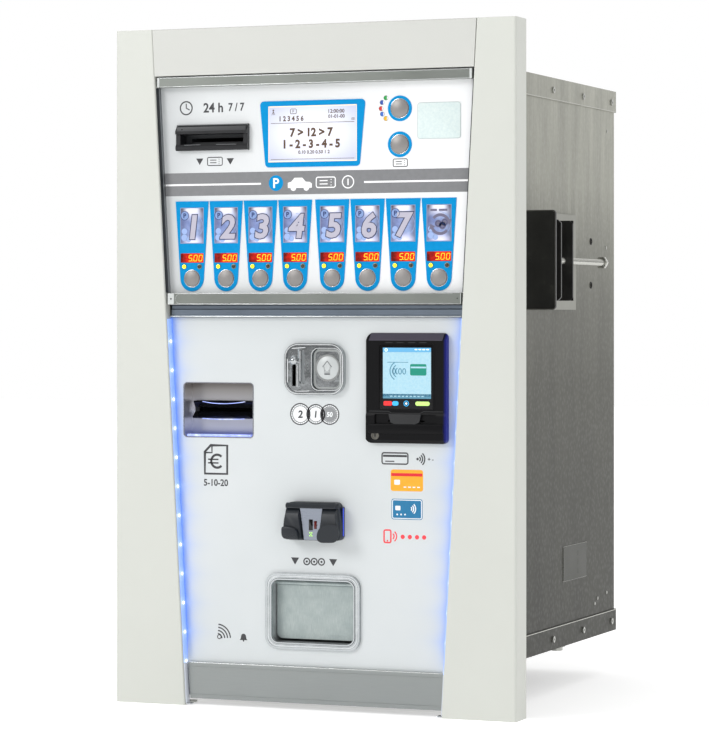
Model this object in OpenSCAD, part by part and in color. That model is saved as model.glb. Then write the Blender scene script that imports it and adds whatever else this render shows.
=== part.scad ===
// Wall-built parking pay station: a fascia in front of the wall, a sheet-steel
// housing through the wall, and the modules that take payment and give tickets.
// X is to the right, Y goes into the wall, Z is up. The wall's face is at Y = 0
// and the fascia's lower edge is at Z = 0, with X = 0 on its centre line.

/* [Fascia] */
// Width of the fascia
frame_w = 630; // [600:1:760]
// Height of the fascia
frame_h = 1000; // [985:1:1200]
// How far the fascia stands out from the wall
frame_d = 45; // [40:1:60]
// Wall thickness of the fascia's covers
frame_wall = 3; // [2:0.5:4]
// Width of the opening between the posts, at the top
opening_top_w = 511; // [500:1:530]
// Width of the opening between the posts, at the bottom
opening_bottom_w = 404; // [390:1:480]
// Height of the lintel above the opening
lintel_h = 69.5; // [60:0.5:80]
// Radius of the fascia's front edges
edge_r = 4; // [2:0.5:8]

/* [Panels] */
// How far the panels lie behind the fascia's front
panel_recess = 16; // [12:1:20]
// Thickness of the two panels
panel_t = 3; // [2:0.5:4]
// Height at which the upper panel starts
upper_z = 600; // [598:1:604]
// Height at which the lower panel ends
lower_top_z = 573; // [560:1:575]
// Thickness of the light strips beside the panels
strip_t = 1.5; // [1:0.5:3]

/* [Rails] */
// Height of the top rail's face
top_rail_h = 14.5; // [12:0.5:18]
// Height of the middle rail's face
mid_rail_h = 16.5; // [14:0.5:17]
// Height of the bottom rail's face
bottom_rail_h = 54; // [40:1:60]
// Depth of the bottom rail in front of the panel
bottom_rail_d = 5; // [3:0.5:10]

/* [Bays] */
// Distance between neighbouring bay buttons
bay_pitch = 55.3; // [55:0.1:56]
// Distance between the fourth and the fifth bay button
bay_mid_pitch = 58.5; // [56:0.1:60]
// Height of the bay buttons
bay_z = 630.5; // [630:0.5:634]
// Radius of a bay button's cap
cap_r = 11.8; // [9:0.1:13]
// Radius of the two service buttons' caps
service_cap_r = 13; // [10:0.1:14]
// Travel of the panel buttons
button_travel = 2; // [1:0.1:3]
// Clearance round a button in its sleeve
button_gap = 0.3; // [0.2:0.05:0.5]

/* [Payment] */
// Width of the banknote recess
bill_w = 112; // [100:1:118]
// Height of the banknote recess
bill_h = 80; // [70:1:90]
// Width of the coin bezel
coin_w = 94; // [85:1:100]
// Height of the coin bezel
coin_h = 75; // [70:1:85]
// Width of the coin slot
slot_w = 5; // [4.6:0.1:6]
// Radius of the coin-return button
return_r = 17; // [12:0.5:18]
// Width of the card terminal
terminal_w = 123.5; // [110:0.5:128]
// Height of the card terminal
terminal_h = 159; // [140:1:165]
// How far the key reader stands out from its panel
reader_d = 30; // [20:1:35]
// Width of the change cup's rim
cup_w = 149; // [130:1:155]
// Height of the change cup's rim
cup_h = 111; // [95:1:115]
// Radial clearance of the pins that turn in a hole
pin_gap = 0.05; // [0.02:0.01:0.1]

/* [Housing] */
// Width of the housing over its side walls
housing_w = 520; // [500:1:540]
// Depth of the housing behind the wall's face
housing_d = 608; // [560:1:740]
// Height at which the housing starts
housing_z0 = 67.4; // [60:0.1:70]
// Height at which the housing ends
housing_z1 = 937.4; // [935:0.1:960]
// Sheet thickness of the side walls
sheet_t = 1.5; // [1:0.5:2]
// Thickness of the lid and the base
cover_t = 2; // [1.5:0.5:3]
// Height of the flanges of the lid and the base
flange_h = 34; // [25:1:40]
// Radius of the paper roll
roll_r = 66; // [40:1:70]

/* [Wall clamps] */
// Height of the clamp's centre
clamp_z = 658; // [600:1:700]
// Distance of the jaw from the wall's face
jaw_y = 143; // [130:1:150]
// How far the clamp reaches from the housing
clamp_reach = 51; // [45:1:55]
// Radius of the clamp bolt's shank
bolt_r = 5; // [4:0.5:6]
// Length of the clamp bolt's shank
bolt_len = 278; // [250:1:300]

/* [Hidden] */
$fn = 48;

// planes along Y
face_y = -frame_d;
panel_y = face_y + panel_recess;
panel_back = panel_y + panel_t;
rail_y = face_y + 2;
plate_t = 1;
plate_y = panel_y - plate_t;
joint_gap = 0.3;

// panel outline
panel_w = opening_top_w + 45;
rail_gap = 3;
lintel_z = frame_h - lintel_h;
upper_h = frame_h - 55 - upper_z;
lower_z = 14;
mount_t = 3;
mount_inset = 0.5;
mount_z0 = 12;
throat_w = housing_w - 50;
throat_z0 = housing_z0 + 20;
throat_z1 = housing_z1 - 22;
mid_rail_z = upper_z + 0.5;
top_rail_z = lintel_z - 2 - top_rail_h / 2;
bottom_rail_z = 9.5 + bottom_rail_h / 2;

// modules in the upper panel
display_x = -4;
display_z = 841.5;
display_w = 158;
display_h = 97;
lcd_w = 140;
lcd_h = 82;
service_x = 132.8;
service_z = [874.7, 822.9];
ticket_x = -162.5;
ticket_z = 839;
ticket_w = 116;
ticket_h = 38.5;
label_x = 193;
label_z = 856;
label_w = 66;
label_h = 52;
bay_x = [for (i = [0:7]) -2 + (i < 4 ? -1 : 1) * (bay_mid_pitch / 2 + (i < 4 ? 3 - i : i - 4) * bay_pitch)];
plate_r = 19;
plate_top_half = 26.8;
plate_top_rise = 114.5;
window_w = 38;
window_h = 53;
window_rise = 78.5;
readout_w = 39;
readout_h = 14;
readout_rise = 30.6;
lamp_dx = 12.4;
lamp_rise = 17.7;
lamp_r = 3.6;
sleeve_wall = 2.4;
sleeve_len = 18;
cap_len = 19;
cap_proud = 3;

// modules in the lower panel
bill_x = -154.6;
bill_z = 436.2;
bill_depth = 32;
coin_x = 1.5;
coin_z = 497.7;
coin_proud = 8;
slot_x = coin_x - 31;
slot_z0 = 473;
slot_z1 = 504;
return_x = coin_x + 20.5;
return_z = 499.6;
return_travel = 3;
terminal_x = 146.2;
terminal_z0 = 391.8;
terminal_proud = 11;
reader_x = 3;
reader_z0 = 247;
reader_h = 59;
reader_w = 88;
cup_x = -2.6;
cup_z = 143.5;
cup_proud = 4;
cup_rim = 10;
cup_inner_r = 4;
cup_depth = 95;
flap_setback = 14;
flap_t = 2.5;
flap_pin_r = 3;
cup_back = panel_y + cup_depth;

// housing
front_flange_h = 15;
side_x = housing_w / 2;
side_y1 = housing_d - 5;
door_t = 15;
door_gap = 2;
door_z0 = housing_z0 + flange_h + door_gap;
door_z1 = housing_z1 - flange_h - door_gap;
door_x0 = -side_x + 8;
door_x1 = side_x - sheet_t - door_gap - 1;
hinge_x = -side_x + 4;
hinge_y = housing_d + 5;
hinge_r = 4;
hinge_pin_r = 2;
hinge_z = [200, 760];
knuckle_h = 26;
knuckle_gap = 0.5;
lip_w = 20;
lip_y = housing_d - door_t - 2.5;
lock_x = side_x - 45;
lock_z = 500;
plug_r = 7;
screw_pitch = 149.5;
screw_rows = [for (i = [0:3]) housing_d - 27 - i * screw_pitch];
spare_y = housing_d - 129;
spare_dz = 34.5;
spare_r = 3.3;

// inner modules
shelf_z = 212;
hopper_x = 53;
hopper_y = 142;
hopper_r = 40;
hopper_h = 100;
disc_pin_r = 5;
roll_x = ticket_x;
roll_y = 182;
roll_z = 850;
roll_w = 74;
spindle_r = 9;

// clamps
jaw_t = 5;
jaw_h = 147;
bracket_h = 120;
bracket_y0 = 172;
bracket_y1 = 232;
bracket_t = 4;
clamp_base_t = 2.5;
clamp_base_y1 = 395;
bolt_x = side_x + 35;

// half width between the posts at a height
function half_open(z) = (opening_bottom_w + (opening_top_w - opening_bottom_w) * z / frame_h) / 2;

// box between two opposite corners
module block(a, b) {
    translate(a) cube(b - a);
}

// outline drawn in the XZ plane, given depth from y0 to y1
module front(y0, y1) {
    translate([0, y1, 0]) rotate([90, 0, 0]) linear_extrude(y1 - y0) children();
}

// outline drawn in the YZ plane, given width from x0 to x1
module along_x(x0, x1) {
    translate([x0, 0, 0]) rotate([90, 0, 90]) linear_extrude(x1 - x0) children();
}

// rectangle with round corners, centred
module rounded(w, h, r) {
    square([w - 2 * r, h], center = true);
    square([w, h - 2 * r], center = true);
    for (x = [-1, 1], z = [-1, 1]) translate([x * (w / 2 - r), z * (h / 2 - r)]) circle(r);
}

// round bar along Y
module bar_y(x, z, y0, y1, r) {
    translate([x, y0, z]) rotate([-90, 0, 0]) cylinder(h = y1 - y0, r = r);
}

// round bar along X
module bar_x(y, z, x0, x1, r) {
    translate([x0, y, z]) rotate([0, 90, 0]) cylinder(h = x1 - x0, r = r);
}

// cutter that rounds the edge of a block along Z, at x = 0 and y = 0
module edge_cutter(len, r) {
    difference() {
        translate([-1, -1, -1]) cube([r + 1, r + 1, len + 2]);
        translate([r, r, -2]) cylinder(h = len + 4, r = r);
    }
}

// cap with a slightly domed front, standing out from y by proud
module domed_cap(x, z, y, proud, len, r) {
    dome_r = 3.2 * r;
    intersection() {
        bar_y(x, z, y - proud, y - proud + len, r);
        translate([x, y - proud + dome_r, z]) sphere(dome_r, $fn = 96);
    }
}

// ---- fascia ----

// hollow cover of one post, the right one
module post() {
    w2 = frame_w / 2;
    lean = atan((opening_top_w - opening_bottom_w) / 2 / frame_h);
    difference() {
        front(face_y, 0) polygon([[half_open(0), 0], [w2, 0], [w2, frame_h], [half_open(frame_h), frame_h]]);
        front(face_y + frame_wall, 1) polygon([
            [half_open(0) + frame_wall, frame_wall], [w2 - frame_wall, frame_wall],
            [w2 - frame_wall, frame_h - frame_wall], [half_open(frame_h) + frame_wall, frame_h - frame_wall]]);
        // the inner wall ends at the panels, which pass behind it
        front(panel_y - joint_gap, 1) polygon([
            [half_open(0) - 1, frame_wall], [half_open(0) + frame_wall + 1, frame_wall],
            [half_open(frame_h) + frame_wall + 1, frame_h - frame_wall],
            [half_open(frame_h) - 1, frame_h - frame_wall]]);
        translate([w2, face_y, 0]) mirror([1, 0, 0]) edge_cutter(frame_h, edge_r);
        translate([half_open(0), face_y, -5]) rotate([0, lean, 0]) edge_cutter(frame_h + 10, edge_r / 2);
    }
}

module right_post() {
    color([0.86, 0.87, 0.84]) post();
}

module left_post() {
    color([0.86, 0.87, 0.84]) mirror([1, 0, 0]) post();
}

module lintel() {
    seam = 0.4;
    x0 = half_open(lintel_z) - seam;
    x1 = half_open(frame_h) - seam;
    color([0.89, 0.90, 0.87]) difference() {
        front(face_y, 0) polygon([[-x0, lintel_z], [x0, lintel_z], [x1, frame_h], [-x1, frame_h]]);
        front(face_y + frame_wall, 1) polygon([
            [-x0 + frame_wall, lintel_z + frame_wall], [x0 - frame_wall, lintel_z + frame_wall],
            [x1 - frame_wall, frame_h - frame_wall], [-x1 + frame_wall, frame_h - frame_wall]]);
        // room for the panel that passes behind the lower wall
        block([-x1 - 1, panel_y - joint_gap, lintel_z - 1], [x1 + 1, 1, frame_h - frame_wall]);
        translate([-x1 - 1, face_y, frame_h]) rotate([0, 90, 0]) edge_cutter(2 * x1 + 2, edge_r / 2);
        translate([x0 + 1, face_y, lintel_z]) rotate([0, -90, 0]) edge_cutter(2 * x0 + 2, edge_r / 4);
    }
}

// sub-frame behind the covers: its back face rests on the wall round the opening
module mounting_frame() {
    mx = frame_w / 2 - frame_wall - mount_inset;
    mz1 = frame_h - frame_wall - mount_inset;
    lip = 2;
    color([0.62, 0.63, 0.62]) {
        difference() {
            block([-mx, -mount_t, mount_z0], [mx, 0, mz1]);
            block([-throat_w / 2, -mount_t - 1, throat_z0], [throat_w / 2, 1, throat_z1]);
        }
        difference() {
            block([-throat_w / 2 - lip, panel_back, throat_z0 - lip], [throat_w / 2 + lip, -mount_t, throat_z1 + lip]);
            block([-throat_w / 2, panel_back - 1, throat_z0], [throat_w / 2, 0, throat_z1]);
        }
    }
}

module top_rail() {
    x = half_open(top_rail_z) - rail_gap;
    color([0.55, 0.56, 0.54]) {
        difference() {
            front(rail_y, panel_y) translate([0, top_rail_z]) square([2 * x - 8, top_rail_h], center = true);
            block([-x - 1, rail_y + 2, top_rail_z - top_rail_h / 2 + 2],
                [x + 1, panel_y - 2, top_rail_z + top_rail_h / 2 - 2]);
        }
        for (s = [-1, 1]) front(rail_y, panel_y)
            translate([s * (x - 2), top_rail_z]) square([4, top_rail_h], center = true);
    }
}

module mid_rail() {
    x = half_open(mid_rail_z) - rail_gap;
    cover_r = mid_rail_h / 2 - 0.7;
    color([0.56, 0.57, 0.55]) {
        difference() {
            front(rail_y + 1, panel_y) translate([0, mid_rail_z]) square([2 * x, mid_rail_h], center = true);
            block([-x + 4, rail_y + 3, mid_rail_z - mid_rail_h / 2 + 2],
                [x - 4, panel_y - 2, mid_rail_z + mid_rail_h / 2 - 2]);
            bar_y(-x + 5.5, mid_rail_z, rail_y, rail_y + 3.5, 1);
        }
        // cover strip with a round left end
        front(rail_y, rail_y + 1) {
            translate([-x + 12 + cover_r, mid_rail_z]) circle(cover_r);
            translate([-x + 12 + cover_r, mid_rail_z - cover_r]) square([2 * x - 13 - cover_r, 2 * cover_r]);
        }
    }
}

// profile under the middle rail, between the two panels
module light_shelf() {
    z0 = lower_top_z + 0.5;
    x = half_open(z0) - rail_gap;
    z1 = mid_rail_z - mid_rail_h / 2;
    color([0.45, 0.48, 0.53]) along_x(-x, x) polygon([
        [panel_back, z0], [panel_y - 7, z0], [panel_y - 7, z0 + 2], [panel_y - 3, z0 + 2.6],
        [panel_y - 3, z0 + 11], [panel_y - 1.5, z0 + 12.5], [panel_y - 1.5, z1 - 0.3],
        [panel_y, z1 - 0.3], [panel_y, upper_z - 0.5], [panel_back, upper_z - 0.5]]);
}

module bottom_rail() {
    e = strip_t + 3;
    z0 = bottom_rail_z - bottom_rail_h / 2;
    z1 = bottom_rail_z + bottom_rail_h / 2;
    groove = 0.8;
    color([0.62, 0.64, 0.63]) difference() {
        front(panel_y - bottom_rail_d, panel_y) polygon([
            [-half_open(z0) + e, z0], [half_open(z0) - e, z0], [half_open(z1) - e, z1], [-half_open(z1) + e, z1]]);
        for (z = [z0 + 6.5, z1 - 6.5]) translate([0, panel_y - bottom_rail_d, z])
            cube([frame_w, 2 * groove, groove], center = true);
        along_x(-half_open(z1), half_open(z1)) polygon([
            [panel_y - bottom_rail_d - 1, z1 - 1.5], [panel_y - bottom_rail_d - 1, z1 + 1],
            [panel_y - bottom_rail_d + 1.5, z1 + 1]]);
    }
}

// one strip on a post's inner wall, between two heights
module strip(z0, z1) {
    g = 0.2;
    front(face_y + 3, panel_y - 0.3) polygon([
        [half_open(z0) - g, z0], [half_open(z1) - g, z1],
        [half_open(z1) - g - strip_t, z1], [half_open(z0) - g - strip_t, z0]]);
}

module light_strips() {
    foot_z = 3;
    color([0.35, 0.5, 0.95]) for (s = [0, 1]) mirror([s, 0, 0]) {
        strip(foot_z + 0.2, lower_top_z - 2);
        strip(mid_rail_z + mid_rail_h / 2 + 1, top_rail_z - top_rail_h / 2 - 1);
        // metal foot under the strip
        block([half_open(0) - 8, face_y + 3, foot_z - 2], [half_open(0) - 0.3, panel_y - 2, foot_z]);
    }
}

// ---- upper panel ----

module bay_outline(grow) {
    r = plate_r + grow;
    wt = plate_top_half + grow;
    h = plate_top_rise + grow;
    d = sqrt(wt * wt + h * h);
    b = atan2(h, wt) - acos(r / d);
    circle(r);
    polygon([[-wt, h], [wt, h], [r * cos(b), r * sin(b)], [-r * cos(b), r * sin(b)]]);
}

module upper_panel() {
    color([0.95, 0.96, 0.97]) difference() {
        block([-panel_w / 2, panel_y, upper_z], [panel_w / 2, panel_back, upper_z + upper_h]);
        for (x = bay_x) {
            bar_y(x, bay_z, panel_y - 1, panel_back + 1, cap_r + button_gap);
            front(panel_y - 1, panel_back + 1) translate([x, bay_z + window_rise])
                square([window_w - 6, window_h - 6], center = true);
            front(panel_y - 1, panel_back + 1) translate([x, bay_z + readout_rise])
                square([readout_w - 2, readout_h - 2], center = true);
            for (s = [-1, 1]) bar_y(x + s * lamp_dx, bay_z + lamp_rise, panel_y - 1, panel_back + 1, lamp_r - 1);
        }
        for (z = service_z) bar_y(service_x, z, panel_y - 1, panel_back + 1, service_cap_r + button_gap);
        front(panel_y - 1, panel_back + 1) translate([display_x, display_z])
            square([lcd_w - 6, lcd_h - 6], center = true);
        front(panel_y - 1, panel_back + 1) translate([ticket_x, ticket_z])
            square([ticket_w - 6, ticket_h - 6], center = true);
    }
}

// eight bay plates and two rings round the service buttons
module button_plates() {
    color([0, 0.62, 0.88]) {
        for (x = bay_x) difference() {
            front(plate_y, panel_y) translate([x, bay_z]) bay_outline(0);
            bar_y(x, bay_z, plate_y - 1, panel_y + 1, cap_r + button_gap);
            front(plate_y - 1, panel_y + 1) translate([x, bay_z + window_rise])
                square([window_w + 0.2, window_h + 0.2], center = true);
            front(plate_y - 1, panel_y + 1) translate([x, bay_z + readout_rise])
                square([readout_w - 6 + 0.2, readout_h + 0.2], center = true);
            for (s = [-1, 1]) bar_y(x + s * lamp_dx, bay_z + lamp_rise, plate_y - 1, panel_y + 1, lamp_r + 0.1);
        }
        for (z = service_z) difference() {
            bar_y(service_x, z, plate_y, panel_y, 18.5);
            bar_y(service_x, z, plate_y - 1, panel_y + 1, service_cap_r + button_gap);
        }
    }
}

// picture windows of the bays and the pale label window
module panel_windows() {
    color([0.78, 0.8, 0.95]) {
        for (x = bay_x) front(plate_y, panel_y) translate([x, bay_z + window_rise])
            square([window_w, window_h], center = true);
        front(plate_y + 0.4, panel_y) translate([label_x, label_z]) rounded(label_w, label_h, 4);
    }
}

// price readouts, lamps and light sensors of the bays
module bay_indicators() {
    color([0.6, 0.05, 0.04]) for (x = bay_x) {
        front(plate_y + 0.2, panel_y) translate([x, bay_z + readout_rise])
            square([readout_w - 6, readout_h], center = true);
        for (s = [-1, 1]) bar_y(x + s * lamp_dx, bay_z + lamp_rise, plate_y - 0.6, panel_y, lamp_r);
    }
}

// sleeve and switch body behind the panel, round one button
module switch_body(x, z, r) {
    difference() {
        bar_y(x, z, panel_back, panel_back + sleeve_len, r + button_gap + sleeve_wall);
        bar_y(x, z, panel_back - 1, panel_back + sleeve_len - 3, r + button_gap);
    }
    block([x - 8, panel_back + sleeve_len, z - 8], [x + 8, panel_back + sleeve_len + 14, z + 8]);
}

module button_switches() {
    color([0.15, 0.15, 0.16]) {
        for (x = bay_x) switch_body(x, bay_z, cap_r);
        for (z = service_z) switch_body(service_x, z, service_cap_r);
    }
}

// metal cap that slides in its sleeve
module panel_button(x, z, r) {
    color([0.78, 0.78, 0.78]) domed_cap(x, z, plate_y, cap_proud,
        cap_proud + plate_t + panel_t + sleeve_len - 3 - button_travel - 1, r);
}

module bay_button_1() { panel_button(bay_x[0], bay_z, cap_r); }
module bay_button_2() { panel_button(bay_x[1], bay_z, cap_r); }
module bay_button_3() { panel_button(bay_x[2], bay_z, cap_r); }
module bay_button_4() { panel_button(bay_x[3], bay_z, cap_r); }
module bay_button_5() { panel_button(bay_x[4], bay_z, cap_r); }
module bay_button_6() { panel_button(bay_x[5], bay_z, cap_r); }
module bay_button_7() { panel_button(bay_x[6], bay_z, cap_r); }
module bay_button_8() { panel_button(bay_x[7], bay_z, cap_r); }
module language_button() { panel_button(service_x, service_z[0], service_cap_r); }
module ticket_button() { panel_button(service_x, service_z[1], service_cap_r); }

// tapered frame round the display
module display_frame() {
    half_top = display_w / 2 + 4;
    half_low = display_w / 2 - 4;
    r = 6;
    color([0, 0.62, 0.88]) difference() {
        front(plate_y, panel_y) hull() for (s = [-1, 1]) {
            translate([display_x + s * (half_top - r), display_z + display_h / 2 - r]) circle(r, $fn = 32);
            translate([display_x + s * (half_low - r), display_z - display_h / 2 + r]) circle(r, $fn = 32);
        }
        front(plate_y - 1, panel_y + 1) translate([display_x, display_z])
            square([lcd_w + 0.2, lcd_h + 0.2], center = true);
    }
}

module display_glass() {
    color([0.8, 0.82, 0.9]) front(plate_y + 0.4, panel_y) translate([display_x, display_z])
        square([lcd_w, lcd_h], center = true);
}

module display_module() {
    color([0.3, 0.32, 0.3]) {
        front(panel_back, panel_back + 9) translate([display_x, display_z])
            square([lcd_w + 16, lcd_h + 14], center = true);
        front(panel_back + 9, panel_back + 10.6) translate([display_x, display_z])
            square([lcd_w + 24, lcd_h + 20], center = true);
        for (x = [-40, 0, 45]) front(panel_back + 10.6, panel_back + 18) translate([display_x + x, display_z])
            square([22, 30], center = true);
    }
}

module ticket_mouth() {
    z0 = ticket_z - ticket_h / 2;
    z1 = ticket_z + ticket_h / 2;
    cheek = 7;
    color([0.1, 0.1, 0.1]) difference() {
        union() {
            along_x(ticket_x - ticket_w / 2, ticket_x + ticket_w / 2) polygon([
                [panel_y, z0], [panel_y - 7, z0], [panel_y - 9, z0 + 2], [panel_y - 9, z0 + 6],
                [panel_y - 7, z0 + 9], [panel_y - 7, z1 - 14], [panel_y - 10, z1 - 14],
                [panel_y - 10, z1 - 10], [panel_y - 3, z1], [panel_y, z1]]);
            front(panel_y, panel_back + 12) translate([ticket_x, ticket_z])
                square([ticket_w - 8, ticket_h - 8], center = true);
        }
        block([ticket_x - ticket_w / 2 + cheek, panel_y - 20, z0 + 9],
            [ticket_x + ticket_w / 2 - cheek, panel_back + 13, z1 - 14]);
    }
}

// ---- lower panel ----

module lower_panel() {
    color([0.89, 0.9, 0.9]) difference() {
        block([-panel_w / 2 + 20, panel_y, lower_z], [panel_w / 2 - 20, panel_back, lower_top_z]);
        front(panel_y - 1, panel_back + 1) {
            translate([bill_x, bill_z]) rounded(bill_w, bill_h, 5);
            translate([coin_x, coin_z]) rounded(coin_w - 8, coin_h - 8, 17);
            translate([terminal_x, terminal_z0 + terminal_h / 2])
                square([terminal_w - 24, terminal_h - 24], center = true);
            translate([reader_x, reader_z0 + reader_h / 2]) square([reader_w - 30, reader_h - 24], center = true);
            translate([cup_x, cup_z]) rounded(cup_w - 8, cup_h - 8, 15);
        }
    }
}

// deep-drawn recess for the banknote, open to the front
module bill_recess() {
    wall = 1.2;
    y1 = panel_y + bill_depth;
    mouth_h = 26;
    color([0.72, 0.72, 0.73]) {
        difference() {
            front(panel_back, y1) translate([bill_x, bill_z]) rounded(bill_w + 2 * wall + 8, bill_h + 2 * wall + 8, 9);
            front(panel_back - 1, y1 - wall) translate([bill_x, bill_z]) rounded(bill_w + 1, bill_h + 1, 5.5);
            front(y1 - wall - 1, y1 + 1) translate([bill_x, bill_z])
                square([bill_w - 12, mouth_h + 0.6], center = true);
        }
    }
}

// black bezel with the slot that the banknote enters
module bill_mouth() {
    y1 = panel_y + bill_depth;
    slot_h = 6;
    color([0.1, 0.1, 0.12]) difference() {
        along_x(bill_x - bill_w / 2 + 6.3, bill_x + bill_w / 2 - 6.3) polygon([
            [y1 + 8, bill_z - 13], [y1 - 14, bill_z - 13], [y1 - 16, bill_z - 11],
            [y1 - 6, bill_z - slot_h / 2], [y1 - 6, bill_z + slot_h / 2],
            [y1 - 12, bill_z + 11], [y1 - 10, bill_z + 13], [y1 + 8, bill_z + 13]]);
        block([bill_x - 43, y1 - 20, bill_z - slot_h / 2], [bill_x + 43, y1 + 9, bill_z + slot_h / 2]);
    }
}

module bill_validator() {
    y0 = panel_y + bill_depth + 8;
    color([0.2, 0.2, 0.22]) {
        difference() {
            block([bill_x - 52, y0, bill_z - 55], [bill_x + 52, y0 + 120, bill_z + 60]);
            block([bill_x - 43, y0 - 1, bill_z - 3], [bill_x + 43, y0 + 60, bill_z + 3]);
        }
        block([bill_x - 48, y0 + 20, bill_z + 60], [bill_x + 48, y0 + 112, bill_z + 270]);
        // straps that hang the validator on the recess
        for (s = [-1, 1]) block([bill_x + s * 48 - 4, y0 - 8, bill_z - 50], [bill_x + s * 48 + 4, y0, bill_z - 40]);
        for (s = [-1, 1]) block([bill_x + s * 48 - 4, y0 - 8, bill_z + 30], [bill_x + s * 48 + 4, y0, bill_z + 40]);
    }
}

// moulded bezel with the coin slot on the left and the button's well on the right
module coin_bezel() {
    y0 = panel_y - coin_proud;
    color([0.8, 0.82, 0.83]) difference() {
        union() {
            front(y0, panel_y) translate([coin_x, coin_z]) rounded(coin_w, coin_h, 21);
            front(panel_y, panel_back + 8) translate([coin_x, coin_z]) rounded(coin_w - 9, coin_h - 9, 16.5);
            // finger guard above the slot
            translate([slot_x, y0, slot_z1 + 6]) sphere(7);
        }
        // coin slot, right through
        block([slot_x - slot_w / 2, y0 - 10, slot_z0], [slot_x + slot_w / 2, panel_back + 9, slot_z1]);
        // face to the right of the slot, set back
        front(y0 - 1, y0 + 3) translate([slot_x + 11, coin_z + 5]) square([11, 52], center = true);
        // well and bore for the return button
        front(y0 - 1, y0 + 4) translate([return_x - 1, coin_z]) rounded(48, 63, 12);
        bar_y(return_x, return_z, y0, panel_back + 6, return_r + joint_gap);
    }
}

module return_button() {
    y0 = panel_y - coin_proud;
    color([0.88, 0.9, 0.92]) domed_cap(return_x, return_z, y0, -0.5,
        coin_proud + panel_t + 6 - return_travel - 1.5, return_r);
}

// validator behind the slot, and the sorter that feeds the hoppers
module coin_validator() {
    y0 = panel_back + 8;
    color([0.22, 0.24, 0.26]) {
        difference() {
            block([slot_x - 16, y0, coin_z - 80], [slot_x + 60, y0 + 72, coin_z + 36]);
            block([slot_x - slot_w / 2, y0 - 1, slot_z0], [slot_x + slot_w / 2, y0 + 45, slot_z1]);
        }
        difference() {
            block([-hopper_x - 42, y0 + 30, 372], [hopper_x + 42, hopper_y + 50, coin_z - 80]);
            for (s = [-1, 1]) block([s * hopper_x - 30, hopper_y - 30, 371], [s * hopper_x + 30, hopper_y + 30, 405]);
        }
    }
}

module card_terminal() {
    y0 = panel_y - terminal_proud;
    z0 = terminal_z0;
    z1 = terminal_z0 + terminal_h;
    w2 = terminal_w / 2;
    color([0.12, 0.12, 0.11]) {
        difference() {
            intersection() {
                along_x(terminal_x - w2, terminal_x + w2) polygon([
                    [panel_y, z0], [y0 + 4, z0], [y0 - 1.5, z0 + 5], [y0 - 1.5, z0 + 40],
                    [y0, z0 + 44], [y0, z1 - 10.5], [panel_y - 0.5, z1], [panel_y, z1]]);
                front(y0 - 5, panel_y + 1) translate([terminal_x, (z0 + z1) / 2])
                    rounded(terminal_w, terminal_h, 7);
            }
            // seat of the screen
            block([terminal_x - 41, y0 - 3, z0 + 49], [terminal_x + 41, y0 + 2, z0 + 142]);
            // card slot between the two hollows beside the tongue
            block([terminal_x - 28, y0 - 5, z0 + 31], [terminal_x + 28, y0 + 9, z0 + 33.4]);
            for (x = [-48, 20]) block([terminal_x + x, y0 - 5, z0 + 26], [terminal_x + x + 26, y0 + 1.5, z0 + 42]);
            bar_y(terminal_x - 47, z0 + 11.5, y0 - 3, y0 + 2, 6.5);
        }
        bar_y(terminal_x - 47, z0 + 11.5, y0, y0 + 2, 6);
        // body behind the panel
        front(panel_y, panel_back + 55) translate([terminal_x, (z0 + z1) / 2])
            square([terminal_w - 26, terminal_h - 26], center = true);
    }
}

module terminal_screen() {
    y0 = panel_y - terminal_proud;
    color([0.55, 0.85, 0.95]) block([terminal_x - 40.8, y0 + 0.5, terminal_z0 + 49.2],
        [terminal_x + 40.8, y0 + 2, terminal_z0 + 141.8]);
}

// hooded reader for a prepaid key
module key_reader() {
    y0 = panel_y - reader_d;
    z0 = reader_z0;
    z1 = reader_z0 + reader_h;
    w2 = reader_w / 2;
    color([0.13, 0.15, 0.18]) difference() {
        union() {
            intersection() {
                along_x(reader_x - w2, reader_x + w2) polygon([
                    [panel_y, z0], [y0 + 2, z0 + 1], [y0, z0 + 4], [y0, z0 + 26],
                    [y0 + 6, z1 - 9], [y0 + 10, z1 - 4], [panel_y, z1]]);
                translate([0, 0, z0 - 1]) linear_extrude(reader_h + 2) polygon([
                    [reader_x - w2, panel_y], [reader_x + w2, panel_y], [reader_x + w2, panel_y - 10],
                    [reader_x + w2 - 7, y0], [reader_x - w2 + 7, y0], [reader_x - w2, panel_y - 10]]);
            }
            // two prongs that guide the key
            for (s = [-1, 1]) block([reader_x + s * 30 - 11, y0 - 3, z0 + 1], [reader_x + s * 30 + 11, y0 + 6, z0 + 20]);
        }
        // throat between the prongs, open below
        block([reader_x - 18, y0 - 4, z0 - 1], [reader_x + 18, y0 + 12, z0 + 50]);
    }
}

module key_socket() {
    y0 = panel_y - reader_d + 8;
    z0 = reader_z0;
    color([0.62, 0.65, 0.72]) {
        difference() {
            front(y0, y0 + 4) polygon([
                [reader_x - 11, z0 + 3], [reader_x + 11, z0 + 3], [reader_x + 17.5, z0 + 49.5],
                [reader_x - 17.5, z0 + 49.5]]);
            for (i = [0:4]) block([reader_x - 30, y0 - 1, z0 + 24 + i * 4.6], [reader_x + 30, y0 + 0.6, z0 + 25.6 + i * 4.6]);
            block([reader_x - 3.6, y0 - 1, z0 + 17], [reader_x + 2.6, y0 + 2.5, z0 + 33]);
            block([reader_x + 4.6, y0 - 1, z0 + 19], [reader_x + 9, y0 + 2.5, z0 + 31]);
        }
        // contact block behind the panel
        front(panel_y, panel_back + 30) translate([reader_x, z0 + reader_h / 2])
            square([reader_w - 32, reader_h - 26], center = true);
    }
}

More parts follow.
